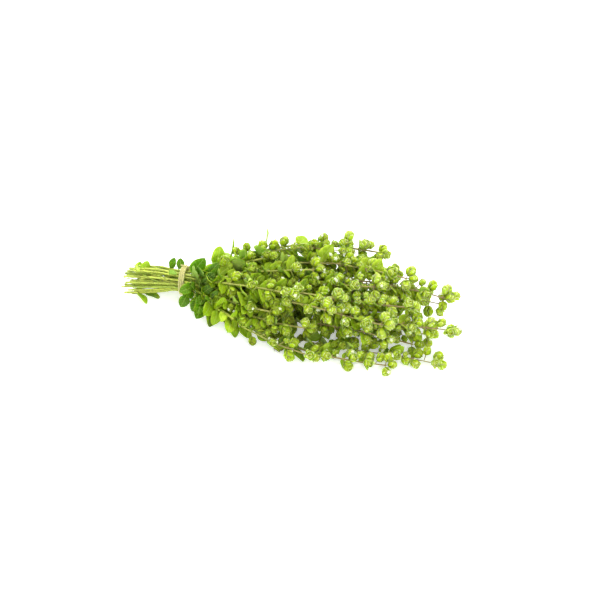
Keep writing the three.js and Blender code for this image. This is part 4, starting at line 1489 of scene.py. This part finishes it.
def dress(sprig, sizes, colours, leaf_kind):
    """One sprig's stem, leaves, bracts and flowers as one piece, in place of its solid."""
    rng = np.random.default_rng([SEED, sprig.k])
    growth = Growth()
    add_stem(growth, sprig, sizes, rng)
    add_loose_ends(growth, sprig, sizes, rng)
    for rings, least, below, solid in LEAF_KINDS:
        leaves = [leaf for leaf in sprig.more_leaves if least <= leaf["length"] < below]
        for place, old in ((LEAF, False), (OLD_LEAF, True)):
            alike = [leaf for leaf in (sprig.leaves if solid else []) + leaves
                     if is_old(sprig, leaf) == old]
            add_leaves(growth, alike, rings, sizes, place, rng)
    for heads, pairs in ((sprig.heads, BRACT_PAIRS), (sprig.more_heads, FEWER_PAIRS)):
        add_heads(growth, heads, pairs, sizes, rng)
    kinds = ("oregano_stem", leaf_kind, "oregano_core", "oregano_bract", "oregano_petal",
             "oregano_hair", "oregano_old_leaf")
    piece = growth.make(f"dressed_{sprig.node}", [material(kind, colours) for kind in kinds])
    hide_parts(sprig.node)
    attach(piece, "root")


class OREGANO_OT_flowering_sprigs(bpy.types.Operator):
    """Dress the sprigs that flower."""

    bl_idname = "oregano.flowering_sprigs"
    bl_label = "Flowering sprigs"

    def execute(self, context):
        sizes, colours = context.scene.oregano_sizes, context.scene.oregano_colours
        for sprig in bunch_of(sizes):
            if not sprig.leafy:
                dress(sprig, sizes, colours, "oregano_leaf")
        return {"FINISHED"}


class OREGANO_OT_leafy_sprigs(bpy.types.Operator):
    """Dress the short sprigs that bear leaves alone."""

    bl_idname = "oregano.leafy_sprigs"
    bl_label = "Leafy sprigs"

    def execute(self, context):
        sizes, colours = context.scene.oregano_sizes, context.scene.oregano_colours
        for sprig in bunch_of(sizes):
            if sprig.leafy and sprig.reach < DARK_RUN:
                dress(sprig, sizes, colours, "oregano_old_leaf")
            elif sprig.leafy:
                dress(sprig, sizes, colours, "oregano_leaf")
        return {"FINISHED"}


# The twine.

PLIES = 3
PLY_SIDES = 7
PLY_TURN = 2.6  # millimetres of cord to each turn of its plies
PLY_OFF, PLY_RADIUS = 0.5, 0.58  # of the cord's radius
CORD_STEP = 0.42
CORD_SWELLS = ((0.07, 1.3), (0.05, 3.1))  # two waves in the cord's radius: how large and how fast
CORD_MAP = 60  # millimetres of cord to 1 on its map
KNOT_ROUNDS = 6
# Each cord of the knot goes through corners along the bundle, round it and out from it: the first
# across the wraps, the second round that, and the last two to the loose ends.
KNOT = (
    ((-1, 0, -0.9), (-0.6, 0.1, 0.4), (0, 0, 1.2), (0.6, -0.1, 0.4), (1, 0, -0.9)),
    ((-0.4, -1, -1), (-0.2, -0.5, 0.8), (0, 0, 1.9), (0.2, 0.5, 0.8), (0.4, 1, -1)),
    ((0, 0, 0.5), (1, 0.2, 1.1), (1.8, 0.6, 0.8), (3.4, 1.4, 0)),
    ((0, 0, 0.5), (-0.8, -0.5, 1.0), (-1.6, -0.9, 0.6), (-3, -1.2, 1)),
)
KNOT_OUT = np.array([0, math.cos(KNOT_WAY), math.sin(KNOT_WAY)])
KNOT_ROUND = np.array([0, -math.sin(KNOT_WAY), math.cos(KNOT_WAY)])
WRAPS_AHEAD = np.array([math.cos(TWINE_TILT), math.sin(TWINE_TILT), 0])
WRAPS_ASIDE = np.array([-math.sin(TWINE_TILT), math.cos(TWINE_TILT), 0])
FIBRE_RINGS = Rings(4, 3, 0)
FIBRE_RADIUS, FIBRE_ROOT = 0.055, 0.62
FIBRE_LENGTH, FIBRE_LIFT, FIBRE_CURL = (1.0, 3.2), (0.15, 0.75), (-0.6, 0.6)


def wrap_course():
    """A helix of as many turns as there are wraps, starting and ending at the knot."""
    radius = TWINE_INSIDE + TWINE_RADIUS
    turns = np.linspace(0, WRAPS, int(WRAPS * TURN * radius / CORD_STEP))
    shift = 2 * TWINE_RADIUS * (turns - WRAPS / 2)
    return (TIE + shift[:, None] * WRAPS_AHEAD
            + radius * turned(KNOT_WAY + TURN * turns, WRAPS_ASIDE, UP))


def knot_course(corners):
    """A smooth cord through corners given along the bundle, round it and out from it."""
    points = np.array([
        TIE + x * KNOT_SIZE * np.array([1, 0, 0]) + up * KNOT_SIZE * KNOT_ROUND
        + (TWINE_INSIDE + (2 + rise) * TWINE_RADIUS) * KNOT_OUT for x, up, rise in corners])
    place = np.linspace(0, 1, len(points))
    length = np.linalg.norm(np.diff(points, axis=0), axis=1).sum()
    fine = np.linspace(0, 1, int(length / CORD_STEP) + 2)
    course = np.stack([np.interp(fine, place, points[:, i]) for i in range(3)], -1)
    for _ in range(KNOT_ROUNDS):
        course = evened(course)
    return course


def add_cord(growth, course, reference, rng):
    """A twisted cord: each ply is a round tube whose middle circles the cord's own course, a third
    of a turn from the next, and which thickens and thins a little."""
    along = unit(np.gradient(course, axis=0))
    side = unit(np.cross(np.broadcast_to(reference, along.shape), along))
    up = np.cross(along, side)
    steps = np.linalg.norm(np.diff(course, axis=0), axis=1)
    way = np.concatenate([[0], np.cumsum(steps)])
    (slow, slow_pace), (fast, fast_pace) = CORD_SWELLS
    swell = slow * np.sin(way * slow_pace + rng.uniform(0, 6)) + fast * np.sin(way * fast_pace)
    thick = TWINE_RADIUS * (1 + swell)[:, None]
    rings = Rings(len(course), PLY_SIDES, 0)
    angle = rings.angle[1:1 + PLY_SIDES]
    length = rings.each(way) / CORD_MAP
    for ply in range(PLIES):
        turn = TURN * (way / PLY_TURN + ply / PLIES)
        line = course + PLY_OFF * thick * turned(turn, side, up)
        ring = line[:, None] + (PLY_RADIUS * thick)[..., None] * turned(
            angle + turn[:, None], side[:, None], up[:, None])
        points = np.concatenate([line[:1], ring.reshape(-1, 3), line[-1:]])
        growth.add(rings, points, 0, tone=rng.uniform(), uv=(rings.angle / TURN, length))


def add_fibres(growth, courses, count, rng):
    """Loose fibres: thin curved hairs that leave the cord nearly along it, lift off it and curl
    aside, both by the square of their way, and get thinner in proportion to it."""
    course = np.concatenate(courses)
    along = np.concatenate([unit(np.gradient(c, axis=0)) for c in courses])
    spot = rng.integers(0, len(course), count)
    away = unit(rng.normal(size=(count, 3)))
    away = unit(away - along[spot] * (away * along[spot]).sum(1, keepdims=True))
    way = along[spot] * rng.choice([-1.0, 1.0], (count, 1))
    side = np.cross(way, away)
    long, lift, curl = (rng.uniform(*between, (count, 1))
                        for between in (FIBRE_LENGTH, FIBRE_LIFT, FIBRE_CURL))
    start = course[spot] + away * (FIBRE_ROOT * TWINE_RADIUS)
    away, way, side = away[:, None], way[:, None], side[:, None]
    t = FIBRE_RINGS.along
    line = (start[:, None] + way * (long * t)[..., None] + away * (lift * long * t ** 2)[..., None]
            + side * (curl * long * t ** 2)[..., None])
    radius = FIBRE_RADIUS * (1.1 - t) * FIBRE_RINGS.open
    points = line + radius[:, None] * turned(FIBRE_RINGS.angle, away, side)
    growth.add(FIBRE_RINGS, points, 0, tone=rng.uniform(0, 1, (count, 1)))


class OREGANO_OT_twine(bpy.types.Operator):
    """Wind the twine round the bundle and knot it."""

    bl_idname = "oregano.twine"
    bl_label = "Twine"

    def execute(self, context):
        sizes, colours = context.scene.oregano_sizes, context.scene.oregano_colours
        rng = np.random.default_rng([SEED, SPRIG_COUNT])
        growth = Growth()
        courses = [wrap_course(), *(knot_course(corners) for corners in KNOT)]
        for course, reference in zip(courses, (WRAPS_AHEAD, *[KNOT_OUT] * len(KNOT))):
            add_cord(growth, course, reference, rng)
        add_fibres(growth, courses, sizes.fibres, rng)
        piece = growth.make("dressed_twine", [material("jute_twine", colours)])
        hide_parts("twine")
        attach(piece, "root")
        return {"FINISHED"}


# The stage, in metres.

CAMERA_AZIMUTH, CAMERA_ELEVATION = math.radians(16.0), math.radians(42.0)
CAMERA_DISTANCE = 1.0
SEEN_WIDTH = 0.428
SENSOR = 36.0  # millimetres
IMAGE = 600
TIE_PIXEL = (184, 280)
TIE_SEEN = np.array([-81.0, -2.0, 12.5]) * MM
LOOKED_AT = TIE_SEEN + np.array([80.0, 0.0, 7.5]) * MM
STAGE_SIDES, STAGE_BEND_RINGS = 96, 9
STAGE_FLAT, STAGE_BEND, STAGE_HEIGHT = 1.5, 0.8, 1.9
SKY_COLOUR, SKY_STRENGTH = (0.97, 0.98, 1.0), 0.65
LAMPS = (  # name, place, watts, width and colour
    ("window", (-0.35, 0.6, 1.15), 20.0, 0.6, (1.0, 0.99, 0.95)),
    ("fill", (0.7, -0.9, 0.9), 7.0, 1.2, (0.97, 0.99, 1.0)),
)


def table_mesh():
    """A round table that curves up into a wall: a flat, a quarter circle and an upright, turned
    about the vertical."""
    angle = TURN * np.arange(STAGE_SIDES) / STAGE_SIDES
    bend = np.linspace(0, math.pi / 2, STAGE_BEND_RINGS)
    radius = np.array([STAGE_FLAT / 2, *(STAGE_FLAT + STAGE_BEND * np.sin(bend)),
                       STAGE_FLAT + STAGE_BEND])
    height = np.array([0, *(STAGE_BEND * (1 - np.cos(bend))), STAGE_HEIGHT])
    rings = (radius[:, None, None] * turned(angle, np.array([1.0, 0, 0]), np.array([0, 1.0, 0]))
             + height[:, None, None] * UP)
    start = STAGE_SIDES * np.arange(len(radius) - 1)[:, None]
    here = np.arange(STAGE_SIDES)
    beside = (here + 1) % STAGE_SIDES
    walls = np.stack([start + here, start + STAGE_SIDES + here, start + STAGE_SIDES + beside,
                      start + beside], -1)
    mesh = bpy.data.meshes.new("table")
    faces = walls.reshape(-1, 4).tolist() + [here.tolist()]
    mesh.from_pydata(rings.reshape(-1, 3).tolist(), [], faces)
    return mesh


def aim(thing, place, at):
    """Puts a lamp or the camera at a place, looking at a point."""
    thing.location = place
    thing.rotation_euler = Vector(np.subtract(at, place)).to_track_quat("-Z", "Y").to_euler()


def place_camera(scene):
    """A camera that looks at the bunch from the photograph's side, shifted so that the tie is seen
    at the photograph's pixel."""
    sin, cos = math.sin(CAMERA_AZIMUTH), math.cos(CAMERA_AZIMUTH)
    level = math.cos(CAMERA_ELEVATION)
    back = np.array([sin * level, -cos * level, math.sin(CAMERA_ELEVATION)])
    right = np.array([cos, sin, 0])
    camera = bpy.data.cameras.new("camera")
    camera.sensor_width = SENSOR
    camera.lens = SENSOR * CAMERA_DISTANCE / SEEN_WIDTH
    seen = TIE_SEEN - LOOKED_AT
    scale = CAMERA_DISTANCE / (CAMERA_DISTANCE - seen @ back) / SEEN_WIDTH
    camera.shift_x = scale * (seen @ right) - (TIE_PIXEL[0] / IMAGE - 0.5)
    camera.shift_y = scale * (seen @ np.cross(back, right)) - (0.5 - TIE_PIXEL[1] / IMAGE)
    eye = bpy.data.objects.new("camera", camera)
    scene.collection.objects.link(eye)
    aim(eye, LOOKED_AT + back * CAMERA_DISTANCE, LOOKED_AT)
    scene.camera = eye


class OREGANO_OT_stage(bpy.types.Operator):
    """Set the table, the lights and the camera."""

    bl_idname = "oregano.stage"
    bl_label = "Stage"

    def execute(self, context):
        scene = context.scene
        floor = bpy.data.objects.new("table", table_mesh())
        floor.data.materials.append(material("white_table", scene.oregano_colours))
        scene.collection.objects.link(floor)
        world = bpy.data.worlds.new("studio")
        world.use_nodes = True
        sky = world.node_tree.nodes["Background"].inputs
        sky[0].default_value = (*SKY_COLOUR, 1)
        sky[1].default_value = SKY_STRENGTH
        scene.world = world
        for name, spot, energy, width, tint in LAMPS:
            light = bpy.data.lights.new(name, "AREA")
            light.energy, light.size, light.color = energy, width, tint
            lamp = bpy.data.objects.new(name, light)
            scene.collection.objects.link(lamp)
            aim(lamp, spot, (0, 0, 0))
        place_camera(scene)
        scene.view_settings.view_transform = "Standard"
        return {"FINISHED"}


class OREGANO_PT_panel(bpy.types.Panel):
    """The bunch's settings and what they build."""

    bl_idname = "OREGANO_PT_panel"
    bl_label = "Oregano"
    bl_space_type = "VIEW_3D"
    bl_region_type = "UI"
    bl_category = "Oregano"

    def draw(self, context):
        for group in (context.scene.oregano_sizes, context.scene.oregano_colours):
            for name in group.__annotations__:
                self.layout.prop(group, name)
        for operator in OPERATORS:
            self.layout.operator(operator.bl_idname)


OPERATORS = (OREGANO_OT_stage, OREGANO_OT_flowering_sprigs, OREGANO_OT_leafy_sprigs,
             OREGANO_OT_twine)
CLASSES = (OREGANO_PG_sizes, OREGANO_PG_colours, *OPERATORS, OREGANO_PT_panel)


def register():
    for made in CLASSES:
        bpy.utils.register_class(made)
    bpy.types.Scene.oregano_sizes = bpy.props.PointerProperty(type=OREGANO_PG_sizes)
    bpy.types.Scene.oregano_colours = bpy.props.PointerProperty(type=OREGANO_PG_colours)


def unregister():
    del bpy.types.Scene.oregano_colours
    del bpy.types.Scene.oregano_sizes
    for made in reversed(CLASSES):
        bpy.utils.unregister_class(made)


def main():
    register()
    bpy.ops.oregano.stage()
    bpy.ops.oregano.flowering_sprigs()
    bpy.ops.oregano.leafy_sprigs()
    bpy.ops.oregano.twine()


if __name__ == "__main__":
    main()
